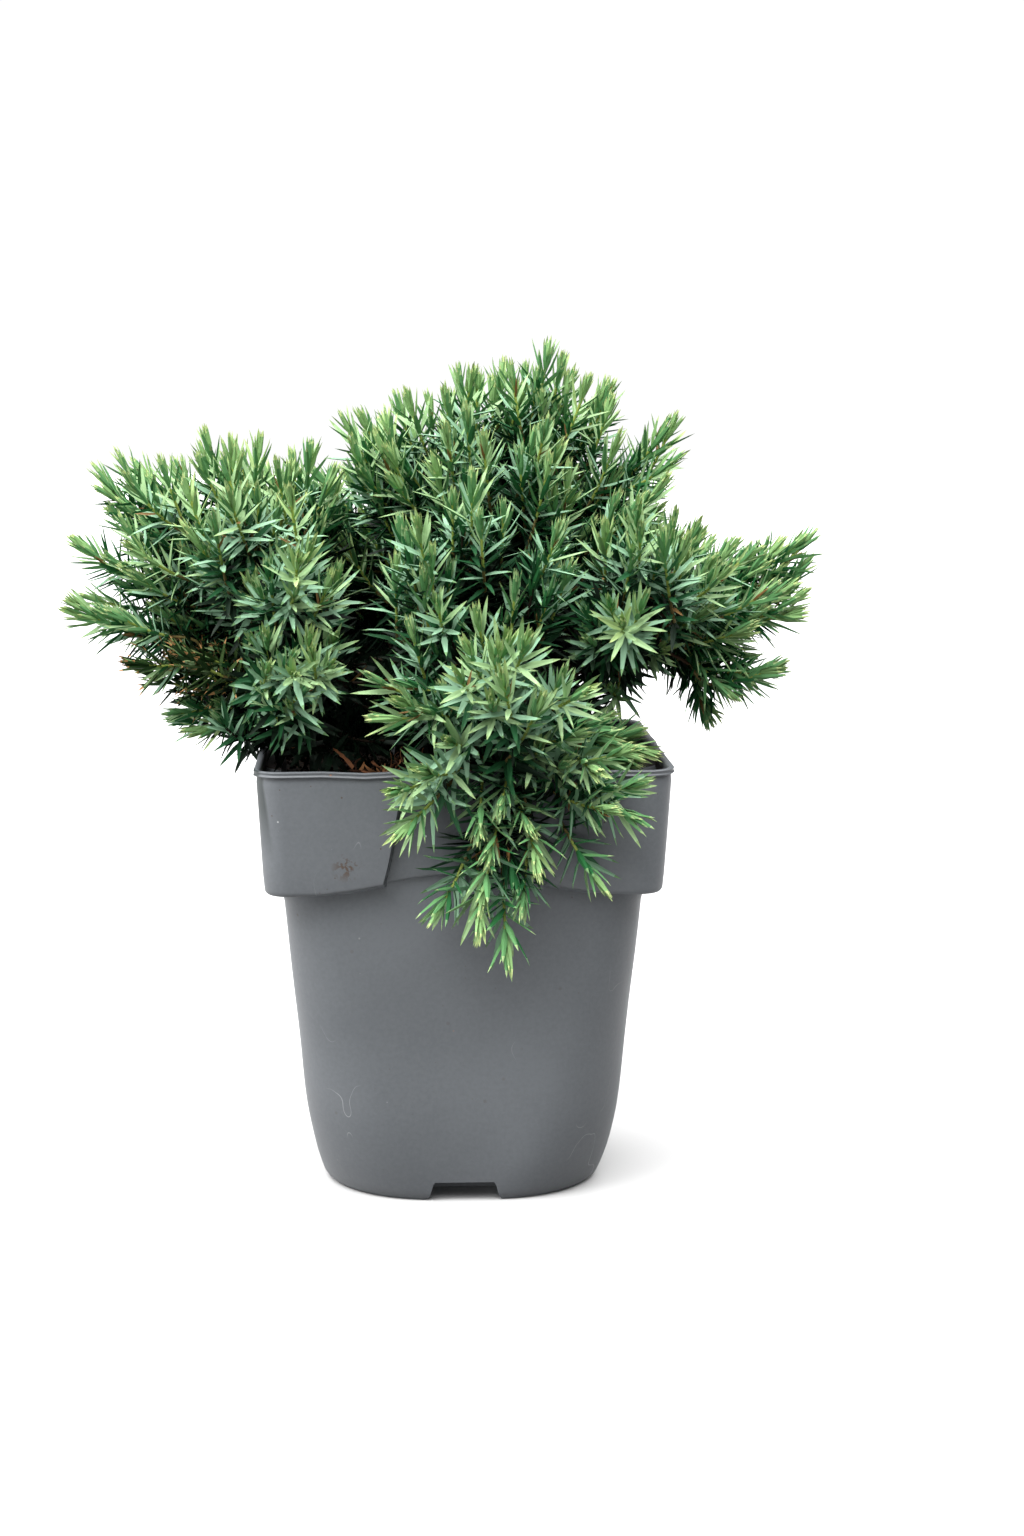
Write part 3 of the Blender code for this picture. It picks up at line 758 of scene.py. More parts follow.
def litterTree(lumps, shreds, crumbFinish, shredFinishes, seed):
    net, start = geometryNet("litter", "Soil", "Litter", litter, seed)
    level = net.split(net.out("GeometryNodeInputNormal"))[2]
    x, y, z = net.split(net.out("GeometryNodeInputPosition"))
    onTop = (level > 0.3) * (z > 0.101)

    def scatter(kind, select, kit, turnLow, turnHigh, finishes, heap):
        inputs = {"Mesh": start["Soil"], "Selection": select, "Density": start[f"{kind} Density"],
                  "Seed": next(net.seeds)}
        points = net.out("GeometryNodeDistributePointsOnFaces", inputs, "Points")
        turn = net.vary(turnLow, turnHigh, "FLOAT_VECTOR")
        size = net.vary(start[f"{kind} Least"], start[f"{kind} Most"])
        which = net.vary(0, 5, "INT")
        rise = net.out("ShaderNodeCombineXYZ", {"Z": net.vary(0.0001, heap)})
        points = net.out("GeometryNodeSetPosition", {"Geometry": points, "Offset": rise})
        points = net.store(points, "shade", net.vary(0.0, float(len(finishes))), "FLOAT")
        made = net.dealt(points, kit, which, turn, size)
        for n, finish in enumerate(finishes):
            made = net.painted(made, net.stored("shade") > n - 0.001, finish)
        return made

    crumbs = scatter("Crumb", onTop, lumps, (-3, -3, -3), (3, 3, 3), [crumbFinish], 0.0002)
    middleX, middleY, wide, deep = (v * mm for v in litterLook["patch"])
    patch = ((x - middleX).calc("ABSOLUTE") < wide) * ((y - middleY).calc("ABSOLUTE") < deep)
    stand = start["Stand"].calc("RADIANS") * -1.0
    low = net.out("ShaderNodeCombineXYZ", {"X": -1.6, "Y": stand, "Z": -3.1})
    high = net.out("ShaderNodeCombineXYZ", {"X": 1.6, "Y": 0.15, "Z": 3.1})
    shredded = scatter("Shred", onTop * patch, shreds, low, high, shredFinishes, start["Pile"])
    join = net.add("GeometryNodeJoinGeometry")
    for geometry in (crumbs, shredded):
        net.feed(join.inputs[0], geometry)
    net.add("NodeGroupOutput", {"Litter": join.outputs[0]})
    return net.tree


def makeLitter(soilPiece):
    look = litterLook
    lumps = [lumpMesh(f"lump{n}", n, 0.8 + 0.25 * (n % 3), 0.75) for n in range(look["lumps"])]
    shreds = [shredMesh(f"shred{n}", *size, n) for n, size in enumerate(look["strips"])]
    crumbFinish = plainMaterial("soil crumb", look["crumb"], 0.95, 0.15)
    rust = [plainMaterial(f"rust bark {n}", colour, 0.85, 0.2) for n, colour in enumerate(look["shreds"])]
    tree = litterTree(collectionOf("lumps", lumps), collectionOf("shreds", shreds), crumbFinish, rust, 5)
    return settle(grown("soilLitter", soilPiece.data.copy(), tree, litter), "soil")


soilPiece = makeSoil()
tell(soilPiece)
tell(makeLitter(soilPiece))


# the trunk and the boughs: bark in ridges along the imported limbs

wood = {
    "dark": (0.030, 0.016, 0.010),
    "pale": (0.170, 0.092, 0.055),
    "grain": 190.0,
    "stretch": (1.0, 1.0, 0.28),
    "sides": 44,
    "step": 0.9,  # millimetres between rings
    "ridges": 0.11,  # depth of the bark's furrows, as a share of the radius
    "flakes": 0.05,
    "flares": (5, 0.30, 0.16),  # roots: how many, how far out, share of the trunk's height
    "trunkRadii": ((0.0, 7.2), (0.08, 5.7), (0.22, 4.7), (0.55, 4.2), (1.0, 3.3)),
}


def barkMaterial():
    made, net, place = patterned("juniper bark", 0.85, 0.2)
    strips = net.noise(place, wood["grain"], 4.0, 0.6, wood["stretch"])
    fine = net.noise(place, wood["grain"] * 6, 3.0, 0.6, wood["stretch"])
    tint = strips + fine * 0.35
    net.finish(net.blend(tint.ramp(0.45, 0.95), wood["dark"], wood["pale"]), tint, 0.0005, 0.7)
    return made


def ringsOf(node):
    # the middles and mean radii of a packed bough's rings, from its free end to the trunk
    bm = packedMesh(node)
    free = max(bm.verts, key=lambda v: (v.co - trunkTop).length)
    seen, rings = set(), []
    ring = set(sorted(bm.verts, key=lambda v: (v.co - free.co).length)[:6])
    while ring:
        places = [v.co for v in sorted(ring, key=lambda v: v.index)]
        middle = sum(places, Vector()) / len(places)
        if len(places) >= 5:
            rings.append((middle, sum((p - middle).length for p in places) / len(places)))
        seen |= ring
        ring = {e.other_vert(v) for v in ring for e in v.link_edges} - seen
    bm.free()
    return rings


def barkTube(rings, rng, flare=None):
    # rings: places and radii; the furrows run along the limb and wander round it
    places = [p for p, _ in rings]
    fine, radii = [], []
    for n in range(len(rings) - 1):
        p0, p1 = places[n], places[n + 1]
        before = places[max(0, n - 1)]
        after = places[min(len(places) - 1, n + 2)]
        count = max(2, round((p1 - p0).length / mm / wood["step"]))
        bend = interpolate_bezier(p0, p0 + (p1 - before) / 6, p1 - (after - p0) / 6, p1, count + 1)
        fine += bend[:-1]
        radii += [mix(rings[n][1], rings[n + 1][1], k / count) for k in range(count)]
    fine.append(places[-1])
    radii.append(rings[-1][1])
    side = unit((fine[1] - fine[0]).orthogonal())
    phase = Vector((rng.uniform(0, 90), rng.uniform(0, 90), 0))
    rows, gone = [], 0.0
    for n, (p, radius) in enumerate(zip(fine, radii)):
        along = unit(fine[min(n + 1, len(fine) - 1)] - fine[max(n - 1, 0)])
        side = unit(side - along * side.dot(along))
        other = along.cross(side)
        gone += (p - fine[n - 1]).length / mm if n else 0
        row = []
        for k in range(wood["sides"]):
            a = 2 * math.pi * k / wood["sides"]
            turn = Vector((math.cos(a), math.sin(a), 0))
            place = turn * 2.4 + Vector((0, 0, gone * 0.16)) + phase
            furrow = 1 - abs(2 * noise.noise(place)) * 2
            flake = noise.noise(Vector((turn.x * 5, turn.y * 5, gone * 0.35)) + phase)
            out = 1 + wood["ridges"] * (furrow - 0.5) + wood["flakes"] * flake
            if flare:
                out += flare(n / (len(fine) - 1), a)
            row.append((p + (side * math.cos(a) + other * math.sin(a)) * radius * out) / mm)
        rows.append(row)
    return closedLoft(rows)


trunkMesh = packedMesh("trunk")
trunkLow, trunkHigh = min(v.co.z for v in trunkMesh.verts), max(v.co.z for v in trunkMesh.verts)
foot = [v.co.copy() for v in trunkMesh.verts if v.co.z < trunkLow + 0.3 * mm]
crest = [v.co.copy() for v in trunkMesh.verts if v.co.z > trunkHigh - 0.3 * mm]
trunkFoot, trunkTop = (sum(c, Vector()) / len(c) for c in (foot, crest))
trunkMesh.free()
limbRings = {node: ringsOf(node)[::-1] for node in nodesNamed("bough")}


def makeWood():
    bark = barkMaterial()
    rng = random.Random("bark")
    count, size, end = wood["flares"]

    def flare(share, angle):
        return size * max(0.0, 1 - share / end) * math.cos(count * angle)

    rings = [(trunkFoot.lerp(trunkTop, share), radius * mm) for share, radius in wood["trunkRadii"]]
    rings.insert(0, (trunkFoot - up * 2.5 * mm, 8.4 * mm))
    trunk = newObject("trunkBark", meshOf(barkTube(rings, rng, flare), "trunkBark", 60), bark)
    settle(trunk, "bark", "trunk")
    joined = bmesh.new()
    middles = [trunkFoot.lerp(trunkTop, k / 20) for k in range(21)]
    for node, found in limbRings.items():
        nearest = min(middles, key=lambda q: (q - found[0][0]).length)
        joined.from_mesh(meshOf(barkTube([(nearest, found[0][1] * 1.1)] + found, rng), node))
    boughs = newObject("boughBark", meshOf(joined, "boughBark", 60), bark)
    settle(boughs, "bark", *limbRings)
    return trunk, boughs


for piece in makeWood():
    tell(piece)


# the needles: one small pointed mesh in three bends, dealt out along the stems

needle = {
    "length": 10.0,
    "width": 1.52,
    "channel": 0.16,  # how deep the upper face is hollowed
    "keel": 0.34,
    "stations": ((0.0, 0.46), (0.36, 1.0), (0.82, 0.50)),  # share of length, of width
    "bends": (-16, 6, 26),  # degrees from foot to tip: towards the stem, nearly straight, away from it
    "coarse": ((0.0, 0.60), (0.60, 1.0)),  # the needles deep in the crown
}
needleSides = {"upper": 0, "under": 1, "tip": 2}


def needleMesh(name, bend, stations, hollow=True):
    # it grows along +Z with its hollow upper face towards -X
    bm = bmesh.new()
    kind = bm.faces.layers.int.new("side")
    length, half = needle["length"] * mm, needle["width"] / 2 * mm

    def onArc(share):
        turn = math.radians(bend) * share
        if abs(bend) < 1:
            return Vector((0, 0, length * share)), Vector((1, 0, 0))
        radius = length / math.radians(bend)
        return (Vector((radius * (1 - math.cos(turn)), 0, radius * math.sin(turn))),
                Vector((math.cos(turn), 0, -math.sin(turn))))

    rows = []
    for share, size in stations:
        place, out = onArc(share)
        wide = Vector((0, half * size, 0))
        row = [place + wide, place - wide, place + out * (needle["channel"] + needle["keel"]) * mm * size]
        if hollow:
            row.insert(1, place + out * needle["channel"] * mm * size)
        rows.append([bm.verts.new(p) for p in row])
    point = bm.verts.new(onArc(1.0)[0])
    count = len(rows[0])
    for low, high in zip(rows, rows[1:]):
        for k, face in enumerate(bridge(bm, low, high)):
            face[kind] = needleSides["upper" if k < count - 2 else "under"]
    for k in range(count):
        face = bm.faces.new((rows[-1][k], rows[-1][(k + 1) % count], point))
        face[kind] = needleSides["tip" if hollow else "under"]
    bm.faces.new(reversed(rows[0]))[kind] = needleSides["under"]
    bmesh.ops.recalc_face_normals(bm, faces=bm.faces)
    return meshOf(bm, name)


def needleKit():
    meshes = [needleMesh(f"needle{n}", bend, needle["stations"]) for n, bend in enumerate(needle["bends"])]
    meshes.append(needleMesh("needle3", needle["bends"][2], needle["coarse"], hollow=False))
    return collectionOf("needle kit", meshes)


# colours of the sprays, from the young tips inwards: upper face, under face, tip; deep and inner are painted
# shade for the needles inside the crown
tones = (
    ("young", (0.345, 0.485, 0.198), (0.190, 0.335, 0.128), (0.370, 0.460, 0.185)),
    ("fresh", (0.292, 0.450, 0.220), (0.090, 0.225, 0.084), (0.240, 0.350, 0.150)),
    ("blue", (0.224, 0.394, 0.252), (0.018, 0.098, 0.030), (0.130, 0.250, 0.105)),
    ("deep", (0.012, 0.072, 0.024), (0.003, 0.026, 0.008), (0.018, 0.062, 0.019)),
    ("inner", (0.002, 0.012, 0.004), (0.001, 0.006, 0.002), (0.004, 0.012, 0.004)),
    ("straw", (0.200, 0.115, 0.042), (0.150, 0.080, 0.028), (0.220, 0.135, 0.052)),
    ("scorched", (0.036, 0.070, 0.018), (0.012, 0.034, 0.008), (0.360, 0.190, 0.075)),
)
needleFinish = {
    (name, side): plainMaterial(f"needle {name} {side}", colour, 0.6, 0.10 if side == "under" else 0.22)
    for name, *colours in tones
    for side, colour in zip(needleSides, colours)
}

growth = {
    "Needle Gap": 0.00064,  # along the stem; three of them make a whorl
    "Tip Angle": 10.0,
    "Spread Angle": 56.0,
    "Reflex Angle": 24.0,
    "Spread Length": 0.011,
    "Full Length": 0.005,  # from the tip to where needles have their whole length
    "Short Share": 0.62,
    "Tone Length": 0.0066,  # along the stem for each step of colour, the later steps being painted shade
    "Straw Share": 0.018,
}
stray = {  # how far single needles stray from the rule
    "lean": 9.0,  # degrees
    "around": 0.22,  # radians, as the roll and the turn from whorl to whorl
    "roll": 0.30,
    "whorl": 0.93,
    "size": (0.84, 1.14),
    "tone": 0.45,
    "bend": 0.8,
    "dead": 0.35,  # how much smaller dead needles are
}


def needleTree(kit, seed):
    net, start = geometryNet("needles", "Stems", "Needles", growth, seed)
    vary, stored = net.vary, net.stored

    def strayed(name):
        return vary(-stray[name], stray[name])

    def turned(rotation, euler):
        inputs = {"Rotation": rotation, "Rotate By": net.out("FunctionNodeEulerToRotation", {"Euler": euler})}
        return net.out("FunctionNodeRotateRotation", inputs, rotation_space="LOCAL")

    def whole(value):
        return net.out("FunctionNodeFloatToInt", {0: value}, rounding_mode="ROUND")

    def equals(name, value):
        inputs = {"A": stored(name, "INT"), "B": value}
        return net.out("FunctionNodeCompare", inputs, data_type="INT", operation="EQUAL")

    curve = net.out("GeometryNodeMeshToCurve", {"Mesh": start["Stems"]})
    inputs = {"Curve": curve, "Length": start["Needle Gap"]}
    places = net.add("GeometryNodeCurveToPoints", inputs, mode="LENGTH").outputs
    inputs = {"Geometry": places["Points"], "Selection": stored("leafy") < vary(0.0, 0.999)}
    points = net.out("GeometryNodeDeleteGeometry", inputs, domain="POINT")
    # how far each needle leans out, by its distance from the tip of its stem
    fromTip = stored("fromTip")
    spread = start["Spread Length"]
    opened = fromTip.ramp(0.0, spread, start["Tip Angle"], start["Spread Angle"], "SMOOTHSTEP")
    reflex = fromTip.ramp(spread * 1.2, spread * 4.0, 0.0, start["Reflex Angle"])
    lean = opened + reflex + strayed("lean")
    index = net.out("GeometryNodeInputIndex")
    whorl = (index / 3.0).calc("FLOOR")
    around = index * (2 * math.pi / 3) + whorl * stray["whorl"] + strayed("around")
    aim = net.out("FunctionNodeAlignRotationToVector", {"Vector": places["Tangent"]}, axis="Z")
    leaning = net.out("ShaderNodeCombineXYZ", {"Y": lean.calc("RADIANS"), "Z": around})
    rolled = net.out("ShaderNodeCombineXYZ", {"Z": strayed("roll")})
    rotation = turned(turned(aim, leaning), rolled)
    size = fromTip.ramp(0.0, start["Full Length"], start["Short Share"], 1.0)
    size = size * vary(*stray["size"]) * stored("vigour")
    dead = vary(0.0, 1.0) < start["Straw Share"] + stored("straw") * 0.1
    size = size * (dead * -stray["dead"] + 1.0)
    # colour, darker with painted shade further from the tip, and bend
    tone = (stored("tone") + fromTip / start["Tone Length"] + strayed("tone")).within(0.0, 4.0)
    scorched = vary(0.0, 1.0) < stored("straw")
    tone = tone.calc("MAXIMUM", dead * 5.0).calc("MAXIMUM", scorched * 6.0)
    bend = (fromTip.ramp(0.0, 0.016, 0.0, 1.5) + strayed("bend")).within(0.0, 2.0)
    coarse = (stored("tone") > 2.6) * 3.0
    points = net.store(points, "toneIndex", whole(tone), "INT")
    made = net.dealt(points, kit, whole(bend.calc("MAXIMUM", coarse)), rotation, size)
    for n, (name, *_) in enumerate(tones):
        for side, number in needleSides.items():
            both = net.out("FunctionNodeBooleanMath", {0: equals("toneIndex", n), 1: equals("side", number)})
            made = net.painted(made, both, needleFinish[name, side])
    net.add("NodeGroupOutput", {"Needles": made})
    return net.tree


# growth: a leader through each mass, side shoots to points spread evenly inside it

parts = {  # millimetres; crest: tips of shoots that stand out, seen from the front
    "Left": {
        "nodes": ("left",), "heart": (-46, 0, 146), "lift": 0.35, "limbs": ("left_low", "left_high"),
        "gaps": (6.5, 8.6),
        "crest": (
            (-84, 6, 190), (-78, -16, 191), (-74, 0, 190), (-59, 4, 194), (-52, -10, 196),
            (-46, -20, 191), (-43, 8, 192), (-33, -4, 188), (-86, -20, 187), (-101, -14, 155),
            (-70, -34, 186), (-60, -38, 192),
            (-85, -22, 170), (-90, 2, 191), (-94, 5, 183), (-69, 10, 194), (-101, -2, 169), (-60, -10, 195),
            (-83, -20, 138), (-82, 4, 186), (-76, 8, 189), (-63, 8, 187), (-77, -12, 126), (-88, -12, 176),
            (-90, -20, 153), (-84, -18, 162),
        ),
        "under": (((-43, -34, 118), (-12, 4, 140)), ((-74, -10, 129), (-50, 14, 146))),
    },
    "Top": {
        "nodes": ("top",), "heart": (8, 4, 150), "lift": 0.45, "limbs": ("top_left", "top_right"),
        "gaps": (6.3, 8.4),
        "crest": (
            (-28, -14, 196), (-26, -2, 203), (-20, -8, 202), (-13, -6, 208), (-9, 2, 207), (-4, -14, 209),
            (5, -4, 213), (10, 6, 211), (14, -12, 215), (19, 4, 215), (30, -2, 212), (34, -14, 212),
            (42, -10, 196), (38, 10, 198), (27, -4, 218), (41, 8, 211), (58, 2, 201), (57, -8, 193),
            (12, 8, 215), (31, 6, 214), (2, -10, 214), (40, -4, 207),
        ),
    },
    "Right": {
        "nodes": ("right",), "heart": (46, -4, 146), "lift": 0.35, "limbs": ("right_low", "right_high"),
        "gaps": (6.3, 8.4),
        "crest": (
            (57, -12, 177), (62, -14, 173), (66, -20, 166), (73, -6, 170), (78, -14, 168), (86, 6, 165),
            (76, -20, 148), (86, 2, 133), (90, -8, 152), (88, 6, 157), (82, -16, 159), (68, 8, 169),
            (73, 2, 168), (79, 8, 166), (95, 2, 170), (94, 4, 164), (91, -10, 156), (86, -8, 137),
            (79, 0, 140), (76, -14, 146),
        ),
        "hanging": ((67, -4, 121), (72, -14, 128), (64, -8, 127), (77, -6, 131)), "hang": -0.55,
        "under": (((10, -34, 118), (34, 4, 140)),),
    },
    "Middle": {
        "nodes": ("middle",), "heart": (2, -12, 140), "lift": 0.95, "limbs": ("top_left", "front"),
        "crest": (), "tone": 0.3,
    },
    "Front": {
        "nodes": ("front",), "heart": (8, -40, 122), "lift": 0.05, "limbs": ("front",),
        "crest": (
            (49, -34, 118.5), (45, -33, 121), (44, -38, 117), (41, -42, 115), (37, -44, 122),
            (44, -34, 114), (38, -36, 126), (-8, -68, 81), (34, -62, 86),
        ),
        "flat": 1.0, "droop": 9.0, "least": 3.2, "gaps": (7.2, 9.0), "vigour": 1.12, "tone": 0.15,
    },
    "BackLeft": {
        "nodes": ("back_left", "back_high_left", "back_low"), "heart": (-2, 22, 142), "lift": 0.5,
        "limbs": ("back_left", "back_right"),
        "crest": ((-30, 18, 187), (-24, 26, 182), (-35, 24, 180), (-26, 12, 176), (-32, 8, 170)),
        "under": (((-40, 4, 117), (0, 46, 138)),),
    },
    "BackRight": {
        "nodes": ("back_right", "back_high_right", "back_mid"), "heart": (-2, 22, 142), "lift": 0.5,
        "limbs": ("back_left", "back_right"), "crest": (), "under": (((0, 4, 117), (40, 46, 138)),),
    },
}
crown = {
    "under": (8.5, 0.030),  # shoots that fill the underside: spacing, depth in metres that sets how much painted shade darkens them
    "start": 0.22,  # share of the way out at which a mass's leader is clothed
    "window": ((52.0, 0, 126.5), (0, 0.990, -0.139), 12.0),  # kept open: place, direction, radius
    "step": 3.0,  # millimetres between the points of a stem
    "tuft": 6.0,
    "crestTuft": 4.0,  # how far the last needles reach past a stem's end
    "least": 4.0,  # how far inside its mass a side shoot's tip stays
    "gaps": (6.9, 8.8),  # between side tips: near the open air and deep in the crown
    "tries": 3000,
    "clothed": (17, 27),  # length of a side shoot that is full of needles
    "sparse": 0.15,  # share of the needles left on the older wood
    "rise": 0.35,  # how much shoots that grow to the front or back turn up
    "flat": 0.8,
    "wander": 0.28,
    "sway": 0.14,
    "droop": 0.35,  # how steeply a shoot may point downwards
    "floor": 117.0,  # height below which no side shoot starts, but in front
    "above": 3.0,  # how far above its mass a leader may start
    "hem": (50.0, 118.5, 121.5),  # outside this half width leaders and side shoots end above these heights
    "lowTone": (138.0, 120.0, 1.3),  # shoots darken between these heights, by so many tones: painted shade under the crown, and older foliage
    "curl": 0.25,
    "brown": 0.85,  # share of scorched needles in the brown spray
    "stemRadii": (0.34, 0.60),  # at a tip and at the foot of a leader
    "darkFrom": 4.0,  # depth in the whole crown at which painted shade begins to darken the needles
    "darkTo": 15.0,
    "darkTones": 3.6,
    "deep": (0.010, 0.028),  # depths in metres over which shoots grow shorter and barer
    "spacing": (0.008, 0.030),  # and over which their tips stand further apart
    "budDepth": 0.022,  # down to this depth a shoot ends in a closed tuft
}


def polyline(a, b, c, d, step):
    count = max(3, round(((b - a).length + (c - b).length + (d - c).length) / step) + 1)
    return interpolate_bezier(a, b, c, d, count)


def anyWay(rng):
    return Vector([rng.uniform(-1, 1) for _ in range(3)])


def skinOf(nodes):
    corners, faces = [], []
    for node in nodes:
        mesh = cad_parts[node].data
        first = len(corners)
        corners += [v.co.copy() for v in mesh.vertices]
        faces += [tuple(first + n for n in p.vertices) for p in mesh.polygons]
    return corners, BVHTree.FromPolygons(corners, faces)


crownSkin = skinOf(nodesNamed("foliage", "soil", "pot"))[1]
looks = [unit(Vector((x, y, z))) for x in (-1, 0, 1) for y in (-1, 0, 1) for z in (-0.5, 0.3, 1)
         if x or y or z]


def crownDepth(p):
    # how much foliage at least lies between a point and the open air
    least = 1.0
    for way in looks:
        hit = crownSkin.ray_cast(p + way * 0.3, -way, 0.3)
        least = min(least, 0.3 - hit[3] if hit[0] else 0.0)
    return least


def fromWindow(p):
    # away from the middle line of the opening that is kept clear
    place, way, _ = crown["window"]
    off = p - Vector(place) * mm
    return off - Vector(way) * off.dot(Vector(way))


def inWindow(p):
    return fromWindow(p).length < crown["window"][2] * mm


def roundWindow(p):
    # a point in the opening moves up to its edge
    if not inWindow(p):
        return p
    _, way, radius = crown["window"]
    rise = unit(up - Vector(way) * way[2])
    off = fromWindow(p)
    return p + rise * (math.sqrt((radius * mm) ** 2 - off.x ** 2) - off.dot(rise))


def spreadPoints(corners, skin, part, rng, taken):
    # tips of side shoots inside a mass, closer together near the open air than deep in the crown
    low = Vector([min(c[k] for c in corners) for k in range(3)])
    high = Vector([max(c[k] for c in corners) for k in range(3)])
    least = part.get("least", crown["least"]) * mm
    nearGap, farGap = part.get("gaps", crown["gaps"])
    found = []
    for _ in range(crown["tries"]):
        p = Vector([rng.uniform(low[k], high[k]) for k in range(3)])
        near, normal, _, far = skin.find_nearest(p)
        if (p - near).dot(normal) > 0 or far < least or inWindow(p):
            continue
        if abs(p.x) > crown["hem"][0] * mm and p.z < crown["hem"][2] * mm:
            continue
        if any((p - q).length < nearGap * mm for q, _ in taken):
            continue
        depth = crownDepth(p)
        gap = mix(nearGap, farGap, smooth(*crown["spacing"], depth)) * mm
        if all((p - q).length > gap for q, _ in taken):
            found.append((p, depth))
            taken.append((p, depth))
    return found


class Stems:
    # the stems of one part of the crown, with the values along each that the needles read
    def __init__(self):
        self.stems = []

    def add(self, points, **values):
        points = [roundWindow(p) for p in points]
        steps = ((b - a).length for a, b in zip(points, points[1:]))
        gone = list(accumulate(steps, initial=0.0))
        whole = gone[-1]
        rows = []
        for d in gone:
            row = {name: value(d / whole) if callable(value) else value for name, value in values.items()}
            rows.append({"fromTip": whole - d, **row})
        self.stems.append((points, rows))

    def addBud(self, points, rng, **values):
        # two more short stems over the last stretch, for the closed tuft of needles at a tip
        for _ in range(2):
            shift = anyWay(rng) * 0.0003
            ends = [points[-2].lerp(points[-1], 0.2) + shift, points[-1] + shift]
            self.add(ends, leafy=1.0, thick=0.0, **values)

    def mesh(self, name):
        bm = bmesh.new()
        layers = {n: bm.verts.layers.float.new(n) for n in stemValues}
        for points, rows in self.stems:
            verts = [bm.verts.new(point) for point in points]
            for vert, row in zip(verts, rows):
                for n, layer in layers.items():
                    vert[layer] = row[n]
            for ends in zip(verts, verts[1:]):
                bm.edges.new(ends)
        return meshOf(bm, name)


# painted shade: tones by which needles deeper in the crown are darker
def paintedShadeTones(depth):
    return crown["darkTones"] * smooth(crown["darkFrom"] * mm, crown["darkTo"] * mm, depth)


def growWay(p, part, sway, rng):
    # the way shoots grow at a place: outwards and up, little towards the front or back
    out = unit(p - Vector(part["heart"]) * mm)
    rise = part["lift"] + crown["rise"] * out.y * out.y
    flat = part.get("flat", crown["flat"])
    out.z = max(out.z, -part.get("droop", crown["droop"]) * math.hypot(out.x, out.y))
    return unit(Vector((out.x, out.y * flat, out.z + rise)) + sway + anyWay(rng) * crown["wander"])


def growShoot(p, depth, leader, part, stems, sway, straw, rng):
    # one side shoot with its tip at p, unless it would cross the opening
    tip, foot = (r * mm for r in crown["stemRadii"])
    step = crown["step"] * mm
    way = growWay(p, part, sway, rng)
    deep = smooth(*crown["deep"], depth)
    clothed = rng.uniform(*crown["clothed"]) * mm * mix(1.0, 0.8, deep)
    start = p - unit(way - up * crown["curl"]) * clothed
    if "droop" not in part:
        start.z = max(start.z, crown["floor"] * mm)
    # it leaves its leader some way below
    joint = min(leader, key=lambda q: (q - start + way * 0.006).length)
    span = (start - joint).length
    points = polyline(start, start + unit(way - up * crown["curl"] * 2) * clothed * 0.35,
                      p - way * clothed * 0.35, p, step)
    whole = clothed
    if span > step:
        arrive = start - (points[1] - start)
        points = polyline(joint, joint.lerp(start, 0.4), arrive, start, step)[:-1] + points
        whole += span
    if depth > 0 and any(inWindow(q) for q in points):
        return
    # the tone holds painted shade from the shoot's depth in the crown
    tone = paintedShadeTones(depth) + rng.uniform(-0.4, 0.4) + part.get("tone", 0.0)
    # low shoots, but not in front, get painted shade from the crown above them
    if "droop" not in part:
        high, low, most = crown["lowTone"]
        tone += most * smooth(-high * mm, -low * mm, -p.z)
    vigour = rng.uniform(0.88, 1.06) * part.get("vigour", 1.0)
    full = mix(1.0, 0.7, deep)
    radius = mix(tip, foot, min(1.0, whole / 0.045))
    stems.add(points, leafy=lambda s: full if (1 - s) * whole < clothed else crown["sparse"], tone=tone,
              straw=straw, vigour=vigour, thick=lambda s: mix(radius, tip, s))
    if depth < crown["budDepth"]:
        stems.addBud(points, rng, tone=tone - 0.2, straw=straw * 0.5, vigour=vigour)


def growLeader(node, part, stems, limbs, rng):
    # from the nearest limb to the mass's foot, then up through the mass to its end
    corners, skin = skinOf([node])
    heart = Vector(part["heart"]) * mm
    if "droop" not in part:
        heart.z = min(heart.z, sum(p.z for p in corners) / len(corners) + crown["above"] * mm)
    far = max(corners, key=lambda p: (p - heart).length)
    if abs(far.x) > crown["hem"][0] * mm and "droop" not in part:
        far.z = max(far.z, crown["hem"][1] * mm)
    base = heart.lerp(far, crown["start"])
    place, _, radius = crown["window"]
    if inWindow(base):
        base.z = (place[2] + radius + 1) * mm
    if fromWindow(base).length < 2 * radius * mm:
        limbs = [[p for p in line if p.z > place[2] * mm] for line in limbs]
    axis = unit(far - base)
    end = far - axis * crown["tuft"] * mm
    step = crown["step"] * mm
    limb = min((p for line in limbs for p in line), key=lambda p: (p - base).length)
    arrive = unit(axis - up * part["lift"] * 0.5)
    span = (base - limb).length
    inner = polyline(limb, limb.lerp(base, 0.4) + up * span * 0.1, base - arrive * span * 0.3, base, step)
    length = (end - base).length
    leave = unit(axis + up * part["lift"])
    outer = polyline(base, base + arrive * length * 0.35, end - leave * length * 0.30, end, step)
    path = inner[:-1] + outer
    tip, foot = (r * mm for r in crown["stemRadii"])
    bareTo = len(inner) / len(path)
    tone = rng.uniform(-0.3, 0.5) + part.get("tone", 0.0)
    straw = crown["brown"] if "brown" in node else 0.0
    stems.add(path, leafy=lambda s: crown["sparse"] if s < bareTo else 1.0, tone=tone, straw=straw,
              vigour=rng.uniform(0.97, 1.08) * part.get("vigour", 1.0), thick=lambda s: mix(foot, tip, s))
    stems.addBud(outer, rng, tone=tone - 0.2, straw=straw, vigour=1.0)
    return corners, skin, outer, straw


